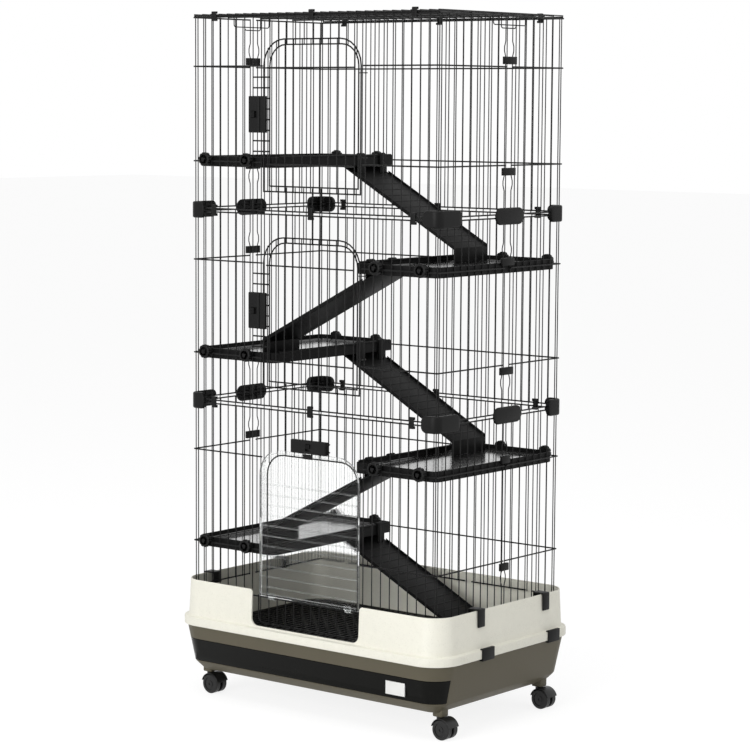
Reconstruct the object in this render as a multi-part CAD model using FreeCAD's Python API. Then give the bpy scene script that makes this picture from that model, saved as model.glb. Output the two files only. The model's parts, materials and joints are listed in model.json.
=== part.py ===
import FreeCAD, Part
import math
import os

V = FreeCAD.Vector
UP = V(0, 0, 1)

# Bars and tiers, in millimetres
PITCH = 25.4            # spacing of the upright bars
TIER_H = 447.0          # height of one tier of panels
TIER_NAMES = ["lower", "middle", "upper"]
BAR_R = 1.25            # radius of an upright bar
RAIL_R = 1.75           # radius of a rail or frame wire
WELD = 0.05             # seam left where two wires are welded
RUN_GAP = 0.08          # clearance of a turning fit
BEND_STEPS = 4          # runs that round one bend or corner
LOW_RAIL = 113.0        # lower rail above the foot of its tier
HIGH_RAIL = 331.0       # upper rail above the foot of its tier
END_RAIL = 4.0          # frame rail in from each end of a tier
CORNER_GAP = 8.0        # last bar of a side panel from the front or back panel
SEAM_SHIFT = 25.4       # folding seam of a side, off the middle of that side
SEAM_HALF = 13.0        # seam bar from the seam's middle
SEAM_CLOSED = 5.0       # the same on the lower right, where the wings stand close
SLEEVE_OFF = 14.0       # middle of a seam sleeve beyond its rail
STIRRUP_SHIFT = 62.0    # middle of the roof's stirrups, off the middle of a side
CORNER_LEG = 34.0       # leg of a corner piece along the front or back
CORNER_FRONT = 72.0     # its leg along a side, at the front
CORNER_BACK = 44.0      # its leg along a side, at the back
JOINER_H = 38.0         # height of the corner and oval pieces
OVAL_L = 106.0          # length of an oval piece
TOP_CROSS_RAILS = 5     # rails across the roof panel

# Doorways and doors
DOORWAY_HALF = 130.0    # half the width of a wire doorway
DOORWAY_BEND = 48.0     # bend radius at its top corners
DOOR_LAP = 12.0         # how far a wire door laps over its doorway
DOORWAY_SILL = 58.0     # sill above the foot of the tier
DOORWAY_HEAD = 68.0     # head of the doorway below the top of the tier
RAMP_DOOR_HALF = 147.0  # half the width of the clear drop-down door
RAMP_DOOR_ROOM = 104.0  # height of its tier that its latch and hinge take
RAMP_DOOR_T = 4.0       # thickness of its plate
RAMP_DOOR_RIBS = 24.0   # spacing of its treads
RUNG_STEP = 24.0        # spacing of the short wires behind a latch
RUNGS = 8
BOLT_TRAVEL = 6.0       # how far a latch bolt shoots
LATCH_HALF = 41.5       # half the height of a side latch and its keeper

# Base
BASE_W = 800.0          # over the flange, left to right
BASE_D = 530.0          # over the flange, front to back
LEDGE_X = 44.4          # flange beyond the cage, left and right
LEDGE_Y = 36.4          # flange beyond the cage, front and back
HOOK_PLACES = [-100.0, 150.0]   # hooks on the surround, front to back
CLIP_PLACES = [-90.0, 165.0]    # clips on the flange, front to back
RUNNER_IN = 100.0       # drawer runner in from the flange
WHEEL_R = 23.0          # caster wheel
TUB_FOOT = 62.0         # underside of the tub above the floor
TUB_SLANT = 22.0        # height of the slanted lower edge of the tub
TUB_TAPER = 22.5        # how far the tub narrows from rim to slant
DRAWER_FOOT = 85.0      # lower edge of the drawer front
DRAWER_HEAD = 139.0     # upper edge of the drawer front
FLANGE_FOOT = 173.0     # lower edge of the flange skirt
FLANGE_H = 20.0         # height of the skirt
SURROUND_H = 87.0       # wall of the surround above its flange
SURROUND_LEAN = 4.5     # how far that wall leans in at the top
CORNER_R = 60.0         # rounded corners of the base
SHELL = 3.0             # wall of the moulded pieces
NOTCH_HALF = 160.0      # half the width of the notch in the front wall
NOTCH_LIFT = 10.0       # notch floor above the foot of the wall
FLOOR_Z = 157.0         # top of the floor grid
STEM_IN_X = 55.0        # caster stem in from the flange, sideways
STEM_IN_Y = 75.0        # caster stem in from the flange, front to back
TRAIL = 13.0            # wheel axle behind the stem
STEM_R = 4.5            # caster stem
SOCKET_FOOT = 50.0      # lower end of a caster socket

# Platforms and ramps
PLATFORM_EDGE = 117.95  # inner edge of a platform from the middle of the cage
PLATFORM_GAP = 0.4      # platform clear of the wires round it
RIM_H = 24.0            # height of its rim
RIM_T = 3.0             # thickness of its rim
RIM_BEND = 20.0         # rounded inner corners
BEAD_R = 3.0            # round bead that a ramp hooks over
RAMP_REACH = 300.0      # ramp, bead to leg, measured level
RAMP_HANG = 40.0        # plank below the bead at the platform's edge
RAMP_TUCK = 32.0        # plank carried on under the platform
RAMP_LEG = 34.0         # upright leg at its foot
RAMP_W = 130.0          # ramp, side to side
RAMP_T = 5.0            # ramp plank
RAMP_LIP = 5.0          # raised edge of the plank
RAMP_IN = 100.6         # middle of a ramp in from the front or back panel
KNOB_IN = 1.5           # clamp knobs, in bar spacings from the panel's end and the hinge bar
KNOB_R = 16.0
KNOB_DEPTH = 12.0
SCREW_R = 2.4           # clamp screw
RAMP_TREADS = 6

# Sizes that follow from those above
SPACES_ACROSS = 2 * round((BASE_W / 2 - LEDGE_X) / PITCH)
SPACES_DEEP = 2 * round((BASE_D / 2 - LEDGE_Y) / PITCH)
HX = PITCH * SPACES_ACROSS / 2
HY = PITCH * SPACES_DEEP / 2
RAMP_DOOR_H = TIER_H - RAMP_DOOR_ROOM
PLATFORM_OUT = HX - BAR_R - PLATFORM_GAP
PLATFORM_W = PLATFORM_OUT - PLATFORM_EDGE
FLANGE_TOP = FLANGE_FOOT + FLANGE_H
TUB_KNEE = TUB_FOOT + TUB_SLANT
SURROUND_TOP = FLANGE_TOP + SURROUND_H
CAGE_FOOT = SURROUND_TOP - 22.0
CAGE_TOP = CAGE_FOOT + TIER_H * len(TIER_NAMES)
RAIL_N = BAR_R + RAIL_R + WELD
BAR_END = END_RAIL - RAIL_R
DOOR_HALF = DOORWAY_HALF + DOOR_LAP
DOOR_BEND = DOORWAY_BEND + DOOR_LAP
DOOR_N = BAR_R + RAIL_R + 0.5
RAIL_END = DOOR_HALF + RAIL_R + 2.25
DOOR_SPACES = int(DOOR_HALF // PITCH)
HINGE_U = (DOOR_SPACES + 1) * PITCH
NOTCH_Z = FLANGE_TOP + NOTCH_LIFT - 6.0
DIP_HALF = NOTCH_HALF - 4.0
DIP_Z = NOTCH_Z + 3.0
CLIP_IN = BAR_R + 0.15
CLIP_GROOVE = RAIL_N + RAIL_R + 0.4
LATCH_N = BAR_R + 0.1
NODES = {}


def keep(name, shapes):
    """Remember the solids that make one named piece."""
    NODES.setdefault(name, []).extend(shapes)


def tier_foot(tier):
    return CAGE_FOOT + tier * TIER_H


def on_wall(side, u, n, z):
    """A point on a wall: u along it, n out from its bars, z up."""
    if side == "front":
        return V(u, -HY - n, z)
    if side == "back":
        return V(u, HY + n, z)
    if side == "left":
        return V(-HX - n, u, z)
    return V(HX + n, u, z)


def outward(side):
    return on_wall(side, 0, 1, 0) - on_wall(side, 0, 0, 0)


def rod(a, b, r, face):
    """Straight wire from a to b."""
    return outline_face(square_outline(a, b - a, face, r)).extrude(b - a)


def many_sided(centre, axis, face, r, sides):
    """Regular ring of points square to an axis, with one corner turned to face."""
    across = axis.cross(face)
    across.normalize()
    ring = []
    for k in range(sides):
        a = 2 * math.pi * k / sides
        ring.append(centre + face * (r * math.cos(a)) + across * (r * math.sin(a)))
    return ring


def collar(centre, along, face, r_in, r_out, sides, bore_sides):
    """Faceted ring from centre along a vector, with a bore that clears r_in."""
    axis = V(along)
    axis.normalize()
    bore = many_sided(centre - along, axis, face, r_in / math.cos(math.pi / bore_sides), bore_sides)
    outer = many_sided(centre, axis, face, r_out, sides)
    return outline_face(outer).extrude(along).cut(outline_face(bore).extrude(along * 3))


def square_outline(centre, axis, face, r):
    """Outline of a wire, drawn square, with one flat turned to face."""
    across = axis.cross(face)
    across.normalize()
    return [centre + face * (r * a) + across * (r * b) for a, b in ((1, 1), (-1, 1), (-1, -1), (1, -1))]


def shifted_path(points, face, d):
    """A flat path moved sideways by d."""
    runs = [b - a for a, b in zip(points, points[1:])]
    sides = []
    for run in runs:
        side = run.cross(face)
        side.normalize()
        sides.append(side)
    moved = []
    for k, p in enumerate(points):
        first = sides[max(k - 1, 0)]
        mitre = first + sides[min(k, len(sides) - 1)]
        mitre.normalize()
        moved.append(p + mitre * (d / mitre.dot(first)))
    return moved


def bar(side, u, z0, z1):
    return rod(on_wall(side, u, 0, z0), on_wall(side, u, 0, z1), BAR_R, outward(side))


def rail(side, z, u0, u1, n=RAIL_N):
    return rod(on_wall(side, u0, n, z), on_wall(side, u1, n, z), RAIL_R, outward(side))


def rounded_points(points, bend, steps=BEND_STEPS):
    """Path through the points with every inner corner rounded in a few runs."""
    path = [points[0]]
    for before, corner, after in zip(points, points[1:], points[2:]):
        back = before - corner
        ahead = after - corner
        back.normalize()
        ahead.normalize()
        half = back.getAngle(ahead) / 2
        middle = back + ahead
        middle.normalize()
        centre = corner + middle * (bend / math.sin(half))
        first = corner + back * (bend / math.tan(half)) - centre
        last = corner + ahead * (bend / math.tan(half)) - centre
        turn = math.pi - 2 * half
        for k in range(steps + 1):
            a = turn * k / steps
            path.append(centre + (first * math.sin(turn - a) + last * math.sin(a)) * (1 / math.sin(turn)))
    return path + [points[-1]]


def bent_wire(points, r, face):
    """Wire bent along a flat path."""
    edge = [p - face * r for p in shifted_path(points, face, r)]
    ring = edge + [p - face * r for p in shifted_path(points, face, -r)][::-1]
    return outline_face(ring).extrude(face * (2 * r))


def block(x0, x1, y0, y1, z0, z1):
    return Part.makeBox(x1 - x0, y1 - y0, z1 - z0, V(x0, y0, z0))


def wall_block(side, u0, u1, n0, n1, z0, z1):
    """Upright box on a wall."""
    a = on_wall(side, u0, n0, z0)
    b = on_wall(side, u1, n1, z1)
    return block(min(a.x, b.x), max(a.x, b.x), min(a.y, b.y), max(a.y, b.y), z0, z1)


def rounded_ring(hx, hy, r, z, steps=BEND_STEPS):
    """Points of a level rectangle with corners rounded in a few runs."""
    ring = []
    for k, (sx, sy) in enumerate(((1, 1), (-1, 1), (-1, -1), (1, -1))):
        centre = V(sx * (hx - r), sy * (hy - r), z)
        for step in range(steps + 1):
            a = math.pi / 2 * (k + step / steps)
            ring.append(centre + V(r * math.cos(a), r * math.sin(a), 0))
    return ring


def outline_face(ring):
    """Flat face inside a ring of points."""
    return Part.Face(Part.makePolygon(ring + [ring[0]]))


def stacked(rings):
    """Solid with flat walls through level rings of points, from the lowest up."""
    faces = [outline_face(rings[0]), outline_face(rings[-1])]
    for low, high in zip(rings, rings[1:]):
        for k in range(len(low)):
            faces.append(outline_face([low[k - 1], low[k], high[k], high[k - 1]]))
    return Part.makeSolid(Part.makeShell(faces))


def prism(ring, height):
    return outline_face(ring).extrude(V(0, 0, height))


def arch_height(u, half, head, bend):
    """Height of an arched frame at u."""
    over = abs(u) - (half - bend)
    if over <= 0:
        return head
    return head - bend + math.sqrt(max(bend ** 2 - over ** 2, 0.0))


def bar_places(count):
    return [(k - count / 2) * PITCH for k in range(count + 1)]


# Wire panels


def panel_back(tier):
    """Plain back panel: bars, two rails and a frame rail at each end."""
    z0 = tier_foot(tier)
    wires = [bar("back", u, z0 + BAR_END, z0 + TIER_H - BAR_END) for u in bar_places(SPACES_ACROSS)]
    for z in (LOW_RAIL, HIGH_RAIL, TIER_H - END_RAIL):
        wires.append(rail("back", z0 + z, -HX - BAR_R, HX + BAR_R))
    if tier:
        wires.append(rail("back", z0 + END_RAIL, -HX - BAR_R, HX + BAR_R))
    else:
        wires += broken_foot_rail(z0 + END_RAIL)
    keep("back_panel_" + TIER_NAMES[tier], wires)


def broken_foot_rail(z):
    """Foot rail of the lowest back panel, left open at four places."""
    outer = HX - 3 * PITCH
    gaps = [-outer, -4 * PITCH, 4 * PITCH, outer]
    starts = [-HX - BAR_R] + [g + PITCH / 2 for g in gaps]
    ends = [g - PITCH / 4 for g in gaps] + [HX + BAR_R]
    return [rail("back", z, a, b) for a, b in zip(starts, ends)]


def seam_place(side):
    return -SEAM_SHIFT if side == "left" else SEAM_SHIFT


def seam_half(side, tier):
    return SEAM_CLOSED if side == "right" and tier == 0 else SEAM_HALF


def panel_side(side, tier):
    """Side panel in two folding wings that meet at a seam, each with evenly spaced bars."""
    z0 = tier_foot(tier)
    seam = seam_place(side)
    half = seam_half(side, tier)
    wires = []
    for end in (-1, 1):
        edge = end * (HY - CORNER_GAP)
        last = seam + end * half
        spaces = round(abs(edge - last) / PITCH)
        for k in range(spaces + 1):
            wires.append(bar(side, edge + (last - edge) * k / spaces, z0 + BAR_END, z0 + TIER_H - BAR_END))
        for z in (END_RAIL, LOW_RAIL, HIGH_RAIL, TIER_H - END_RAIL):
            inner = last - end * BAR_R
            outer = end * (HY + RAIL_N)
            wires.append(rail(side, z0 + z, min(inner, outer), max(inner, outer)))
    keep(side + "_panel_" + TIER_NAMES[tier], wires)


def latch_rungs(z):
    """Ladder of short wires that a side latch is mounted on."""
    first = z - RUNG_STEP * (RUNGS - 1) / 2
    end = -DOORWAY_HALF - RAIL_R - WELD
    return [rail("front", first + RUNG_STEP * k, -HINGE_U - PITCH - BAR_R, end, -RAIL_N) for k in range(RUNGS)]


def panel_front(tier):
    """Front panel with its bars and rails cut at an arched doorway."""
    z0 = tier_foot(tier)
    half, head, bend, sill = doorway_sizes(tier)
    wires = []
    for u in bar_places(SPACES_ACROSS):
        foot = z0 + BAR_END
        if tier == 0 and abs(u) < DIP_HALF:
            foot = DIP_Z
        if abs(u) < half:
            wires.append(bar("front", u, foot, sill))
            wires.append(bar("front", u, arch_height(u, half, head, bend), z0 + TIER_H - BAR_END))
        else:
            wires.append(bar("front", u, foot, z0 + TIER_H - BAR_END))
    for z in (LOW_RAIL, HIGH_RAIL):
        wires.append(rail("front", z0 + z, -HX - BAR_R, -RAIL_END))
        wires.append(rail("front", z0 + z, RAIL_END, HX + BAR_R))
    wires.append(rail("front", z0 + TIER_H - END_RAIL, -HX - BAR_R, HX + BAR_R))
    if tier:
        wires.append(rail("front", z0 + END_RAIL, -HX - BAR_R, HX + BAR_R))
        wires += latch_rungs(latch_height(tier))
    else:
        reach = DIP_HALF + RAIL_R + 2 * WELD
        wires.append(rail("front", z0 + END_RAIL, -HX - BAR_R, -reach))
        wires.append(rail("front", z0 + END_RAIL, -reach + 4 * RAIL_R, reach - 4 * RAIL_R))
        wires.append(rail("front", z0 + END_RAIL, reach, HX + BAR_R))
        dip = [(-DIP_HALF, z0 + END_RAIL + 4), (-DIP_HALF, DIP_Z), (DIP_HALF, DIP_Z), (DIP_HALF, z0 + END_RAIL + 4)]
        points = [on_wall("front", u, RAIL_N, z) for u, z in dip]
        wires.append(bent_wire(rounded_points(points, 16.0, 2), RAIL_R, outward("front")))
        for z in (latch_height(0) - 9, latch_height(0) + 9):
            wires.append(rail("front", z, -2 * PITCH - BAR_R, 2 * PITCH + BAR_R, -RAIL_N))
    keep("front_panel_" + TIER_NAMES[tier], wires)


def doorway_sizes(tier):
    """Half width, head, bend and sill of the doorway in one tier."""
    z0 = tier_foot(tier)
    if tier:
        return DOORWAY_HALF, z0 + TIER_H - DOORWAY_HEAD, DOORWAY_BEND, z0 + DOORWAY_SILL
    half = RAMP_DOOR_HALF - DOOR_LAP
    return half, ramp_door_head() - DOOR_LAP, DOORWAY_BEND, z0 + END_RAIL + 2


def doorway(tier):
    """Arched frame wire round a doorway, welded behind the bars."""
    half, head, bend, sill = doorway_sizes(tier)
    n = -RAIL_N
    corners = [(-half, sill), (-half, head), (half, head), (half, sill)]
    points = [on_wall("front", u, n, z) for u, z in corners]
    wires = [bent_wire(rounded_points(points, bend), RAIL_R, outward("front"))]
    inset = half - RAIL_R - WELD
    wires.append(rail("front", sill + RAIL_R, -inset, inset, n))
    keep("doorway_" + TIER_NAMES[tier], wires)


def panel_roof():
    """Roof panel, with the two nested stirrups that keep each side seam in line."""
    rail_z = CAGE_TOP - END_RAIL + 2 * RAIL_R + WELD
    bar_z = rail_z + RAIL_N
    reach = HY + RAIL_N + RAIL_R
    wires = []
    for u in bar_places(SPACES_ACROSS):
        wires.append(rod(V(u, -reach, bar_z), V(u, reach, bar_z), BAR_R, UP))
    for k in range(TOP_CROSS_RAILS):
        y = (HY + RAIL_N) * (2 * k / (TOP_CROSS_RAILS - 1) - 1)
        wires.append(rod(V(-HX - BAR_R, y, rail_z), V(HX + BAR_R, y, rail_z), RAIL_R, UP))
    for s in (-1, 1):
        for inward, half, drop in ((0, 62.0, 24.0), (2 * BAR_R + 0.5, 28.0, 31.0)):
            x = s * (HX - PITCH - inward)
            y = s * STIRRUP_SHIFT
            top = bar_z - BAR_R - WELD
            route = [V(x, y - half, top), V(x, y - half, top - drop), V(x, y + half, top - drop), V(x, y + half, top)]
            wires.append(bent_wire(rounded_points(route, 6.0, 1), BAR_R, V(1, 0, 0)))
    keep("roof_panel", wires)


# Plastic pieces that join the panels


def corner_piece(sx, sy, z0, z1, groove0, groove1):
    """Corner connector: a grooved angle that grips the frame rails."""
    legs = (CORNER_LEG, CORNER_FRONT if sy < 0 else CORNER_BACK)
    depth = 11.0

    def angle(n, grow, cut):
        x1 = HX + n
        y1 = HY + n
        x0 = HX - legs[0] - grow
        y0 = HY - legs[1] - grow
        inner = (HX + CLIP_IN, HY + CLIP_IN)
        ring = [(x0, inner[1]), inner, (inner[0], y0), (x1, y0), (x1, y1 - cut), (x1 - cut, y1), (x0, y1)]
        return outline_face([V(x, y, 0) for x, y in ring])

    solid = angle(depth, 0, depth * 0.6).extrude(V(0, 0, z1 - z0)).translated(V(0, 0, z0))
    groove = angle(CLIP_GROOVE, 1, 0.5).extrude(V(0, 0, groove1 - groove0)).translated(V(0, 0, groove0))
    solid = solid.cut(groove)
    if sx < 0:
        solid = solid.mirror(V(0, 0, 0), V(1, 0, 0))
    if sy < 0:
        solid = solid.mirror(V(0, 0, 0), V(0, 1, 0))
    return solid


def grip(side, u, width, z0, z1, groove0, groove1, depth):
    """Straight clip with a groove for the rails it holds."""
    body = wall_block(side, u - width / 2, u + width / 2, CLIP_IN, depth, z0, z1)
    groove = wall_block(side, u - width, u + width, CLIP_IN - 1, CLIP_GROOVE, groove0, groove1)
    return body.cut(groove)


def oval_grip(side, u, z, length, height, depth):
    """Long rounded clip over a side seam at a tier joint."""
    r = height / 2
    straight = length / 2 - r
    ring = []
    for end, start in ((1, -90), (-1, 90)):
        for k in range(7):
            a = math.radians(start + 30 * k)
            ring.append(on_wall(side, u + end * straight + r * math.cos(a), CLIP_IN, z + r * math.sin(a)))
    body = outline_face(ring).extrude(outward(side) * (depth - CLIP_IN))
    g = END_RAIL + RAIL_R + 0.4
    groove = wall_block(side, u - length, u + length, CLIP_IN - 1, CLIP_GROOVE, z - g, z + g)
    return body.cut(groove)


def joining_pieces():
    """Corner pieces, oval side pieces, small clips and seam sleeves."""
    g = END_RAIL + RAIL_R + 0.4
    for tier in (1, 2, 3):
        z = tier_foot(tier)
        last = tier == len(TIER_NAMES)
        groove_top = z + (END_RAIL + 2.5 if last else g)
        clip_top = z + (9.0 if last else 13.0)
        for side in ("front", "back"):
            for u in (-HX + 2.5 * PITCH, 0, HX - 2.5 * PITCH):
                keep("rail_clips", [grip(side, u, 14.0, z - 13, clip_top, z - g, groove_top, 9.0)])
    for tier, name in ((1, "lower"), (2, "upper")):
        z = tier_foot(tier)
        for sx in (-1, 1):
            for sy in (-1, 1):
                piece = corner_piece(sx, sy, z - JOINER_H / 2, z + JOINER_H / 2, z - g - 2, z + g)
                keep("corner_pieces_" + name, [piece])
        for side in ("left", "right"):
            keep("seam_ovals", [oval_grip(side, seam_place(side), z, OVAL_L, JOINER_H, 10.0)])
    for tier in range(len(TIER_NAMES)):
        for side in ("left", "right"):
            for z in (LOW_RAIL - SLEEVE_OFF, HIGH_RAIL + SLEEVE_OFF):
                keep("seam_sleeves", [seam_sleeve(side, tier, tier_foot(tier) + z)])


def seam_sleeve(side, tier, z):
    """Sleeve that holds the two seam bars of a side together."""
    seam = seam_place(side)
    half = seam_half(side, tier)
    width = half + 10.0
    tall = 8.5
    bore = BAR_R + 0.1
    body = wall_block(side, seam - width, seam + width, 0.1 - BAR_R, 6.0, z - tall, z + tall)
    for end in (-1, 1):
        u = seam + end * half
        body = body.cut(wall_block(side, u - bore, u + bore, -2 * bore, bore, z - 2 * tall, z + 2 * tall))
    return body


# Doors and latches


def latch_height(tier):
    """Middle of a latch."""
    if tier:
        return tier_foot(tier) + (LOW_RAIL + HIGH_RAIL) / 2
    return ramp_door_head() + 16.0


def ramp_door_head():
    return CAGE_FOOT + END_RAIL + 4.0 + RAMP_DOOR_H


def wire_door(tier):
    """Arched wire door that turns on two eyes round a panel bar."""
    z0 = tier_foot(tier)
    foot = z0 + DOORWAY_SILL - DOOR_LAP
    head = z0 + TIER_H - DOORWAY_HEAD + DOOR_LAP
    n_bar = DOOR_N + RAIL_N
    n_rail = n_bar + RAIL_N
    corners = [(-DOOR_HALF, foot), (-DOOR_HALF, head), (DOOR_HALF, head), (DOOR_HALF, foot)]
    points = [on_wall("front", u, DOOR_N, z) for u, z in corners]
    wires = [bent_wire(rounded_points(points, DOOR_BEND), RAIL_R, outward("front"))]
    inset = DOOR_HALF - RAIL_R - WELD
    wires.append(rail("front", foot + RAIL_R, -inset, inset, DOOR_N))
    for k in range(-DOOR_SPACES, DOOR_SPACES + 1):
        u = k * PITCH
        top = arch_height(u, DOOR_HALF, head, DOOR_BEND)
        a = on_wall("front", u, n_bar, foot)
        b = on_wall("front", u, n_bar, top + 1)
        wires.append(rod(a, b, BAR_R, outward("front")))
    reach = DOOR_SPACES * PITCH + BAR_R
    for z in (LOW_RAIL - 4, HIGH_RAIL - 4):
        wires.append(rail("front", z0 + z, -reach, reach, n_rail))
    for z in (LOW_RAIL + 16, HIGH_RAIL - 16):
        wires.append(hinge_eye(z0 + z))
    wires.append(door_strike(latch_height(tier)))
    keep("door_" + TIER_NAMES[tier], wires)


def hinge_eye(z):
    """Eye that turns on the hinge bar, with a tail welded to the door frame."""
    c = on_wall("front", HINGE_U, 0, z)
    bore = BAR_R * math.sqrt(2) + RUN_GAP
    outer = bore + 2 * BAR_R
    ring = collar(c - UP * BAR_R, UP * (2 * BAR_R), V(1, 0, 0), bore, outer, 8, 8)
    swing = math.radians(35.0)
    along = V(-math.cos(swing), -math.sin(swing), 0)
    tail = rod(c + along * (outer - BAR_R), c + along * 14.0, BAR_R * 0.9, UP)
    return ring.fuse(tail).removeSplitter()


def door_strike(z):
    """Keeper on the door frame, with a pocket for the latch bolt."""
    u0 = -DOOR_HALF - RAIL_R - 2.4
    u1 = u0 + 16.0
    n0 = DOOR_N + RAIL_R + WELD
    body = wall_block("front", u0, u1, n0, n0 + 7.0, z - LATCH_HALF, z + LATCH_HALF)
    pocket = wall_block("front", u0 - 1, u0 + BOLT_TRAVEL + 1, n0 + 1.2, n0 + 5.2, z - 9.5, z + 9.5)
    return body.cut(pocket)


def latch_shapes(length, half):
    """Housing and bolt of a latch: the bolt shoots along +X, the face looks along -Y."""
    depth = 13.0
    n0 = DOOR_N + RAIL_R + WELD + 1.4 - LATCH_N
    body = block(-length, 0, -depth, 0, -half, half)
    edges = [e for e in body.Edges if abs(e.CenterOfMass.y + depth) < 0.1]
    body = body.makeChamfer(2.5, edges)
    body = body.cut(block(-length + 4, 1, -n0 - 3.8, -n0 + 0.2, -9.4, 9.4))
    window = block(-length * 0.75, -length * 0.2, -depth - 1, -n0 - 3, -7, 7)
    body = body.cut(window)
    plate = block(-length + 5 + BOLT_TRAVEL, -0.3, -n0 - 3.5, -n0, -9, 9)
    thumb = block(-length * 0.75 + 0.5, -length * 0.2 - BOLT_TRAVEL - 0.5, -depth - 3, -n0 - 3.4, -6.5, 6.5)
    grooves = thumb
    for k in (-3.5, 0, 3.5):
        grooves = grooves.cut(block(-length, 0, -depth - 4, -depth - 1.6, k - 0.8, k + 0.8))
    return body, plate.fuse(grooves).removeSplitter()


def side_latch(tier):
    """Latch beside a wire door."""
    nose = on_wall("front", -DOOR_HALF - RAIL_R - 3.2, LATCH_N, latch_height(tier))
    body, bolt = latch_shapes(34.0, LATCH_HALF)
    keep("latch_" + TIER_NAMES[tier], [body.translated(nose)])
    keep("bolt_" + TIER_NAMES[tier], [bolt.translated(nose)])


def head_latch():
    """Latch above the clear door: its bolt shoots down."""
    body, bolt = latch_shapes(30.0, 52.0)
    nose = on_wall("front", 0, LATCH_N, ramp_door_head() + 0.8)
    turn = FreeCAD.Placement(nose, FreeCAD.Rotation(V(0, 1, 0), 90))
    for name, shape in (("latch_lower", body), ("bolt_lower", bolt)):
        shape = shape.copy()
        shape.Placement = turn
        keep(name, [shape])


def ramp_door():
    """Clear drop-down door with treads, turning on the foot rail of its panel."""
    axis_z = CAGE_FOOT + END_RAIL
    foot = axis_z + 4.0
    head = ramp_door_head()
    n0 = RAIL_N + RAIL_R + 0.4
    half = RAMP_DOOR_HALF
    plate = arched_plate(half, foot, head, DOOR_BEND, n0, n0 + RAMP_DOOR_T)
    border = arched_plate(half, foot, head, DOOR_BEND, n0, n0 + RAMP_DOOR_T + 2)
    hollow = arched_plate(half - 9, foot + 9, head - 9, DOOR_BEND - 9, n0 - 1, n0 + RAMP_DOOR_T + 4)
    door = plate.fuse(border.cut(hollow))
    z = foot + 9 + RAMP_DOOR_RIBS / 2
    while z < head - DOOR_BEND:
        tread = wall_block("front", -half + 8, half - 8, n0 + RAMP_DOOR_T - 1, n0 + RAMP_DOOR_T + 2, z, z + 3)
        door = door.fuse(tread)
        z += RAMP_DOOR_RIBS
    n_in = DOOR_N + RAIL_R + WELD + 1.2
    pocket = wall_block("front", -9.5, 9.5, n_in, n_in + 4.0, head - BOLT_TRAVEL - 1, head + 1)
    boss = wall_block("front", -14, 14, n0, n_in + 6.0, head - 12, head)
    door = door.fuse(boss).cut(pocket)
    for s in (-1, 1):
        mid = s * 4.5 * PITCH
        door = door.fuse(door_knuckle(mid, axis_z, foot, n0))
    keep("door_lower", [door.removeSplitter()])


def arched_plate(half, foot, head, bend, n0, n1):
    """Upright plate with rounded top corners."""
    corners = [on_wall("front", u, n0, z) for u, z in ((-half, foot), (-half, head), (half, head), (half, foot))]
    ring = rounded_points(corners, bend)
    return outline_face(ring).extrude(outward("front") * (n1 - n0))


def door_knuckle(u, axis_z, foot, n0):
    """Eye of the clear door round the foot rail."""
    width = PITCH - 8.0
    centre = on_wall("front", u - width / 2, RAIL_N, axis_z)
    bore = RAIL_R * math.sqrt(2) + RUN_GAP
    eye = collar(centre, V(width, 0, 0), UP, bore, bore + 1.9, 8, 8)
    arm = wall_block("front", u - width / 2, u + width / 2, n0, n0 + RAMP_DOOR_T, axis_z, foot + 8)
    room = many_sided(centre - V(1, 0, 0), V(1, 0, 0), UP, bore + 0.5, 8)
    return eye.fuse(arm.cut(outline_face(room).extrude(V(width + 2, 0, 0))))


# Base


def tub_back(z):
    """How far the tub's face stands back from the flange edge at one height."""
    rim_z = FLANGE_TOP - SHELL - 0.2
    if z < TUB_KNEE:
        return SHELL + 0.5 + TUB_TAPER + TUB_KNEE - z
    return SHELL + 0.5 + TUB_TAPER * (rim_z - z) / (rim_z - TUB_KNEE)


def tub_outline(z, inset):
    """Outline of the tub at one height, taken in by inset."""
    back = tub_back(z) + inset
    return rounded_ring(BASE_W / 2 - back, BASE_D / 2 - back, CORNER_R + 12 - back, z)


def tub_form(inset, z0):
    """Solid form of the tub, from z0 up to its rim."""
    rim = FLANGE_TOP - SHELL - 0.2
    heights = [z0, TUB_KNEE, rim] if z0 < TUB_KNEE else [z0, rim]
    return stacked([tub_outline(z, inset) for z in heights])


def stem_places():
    sx = BASE_W / 2 - STEM_IN_X
    sy = BASE_D / 2 - STEM_IN_Y
    return [("front_left", -sx, -sy), ("front_right", sx, -sy), ("back_left", -sx, sy), ("back_right", sx, sy)]


def drawer_break():
    return BASE_D / 2 - CORNER_R


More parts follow.
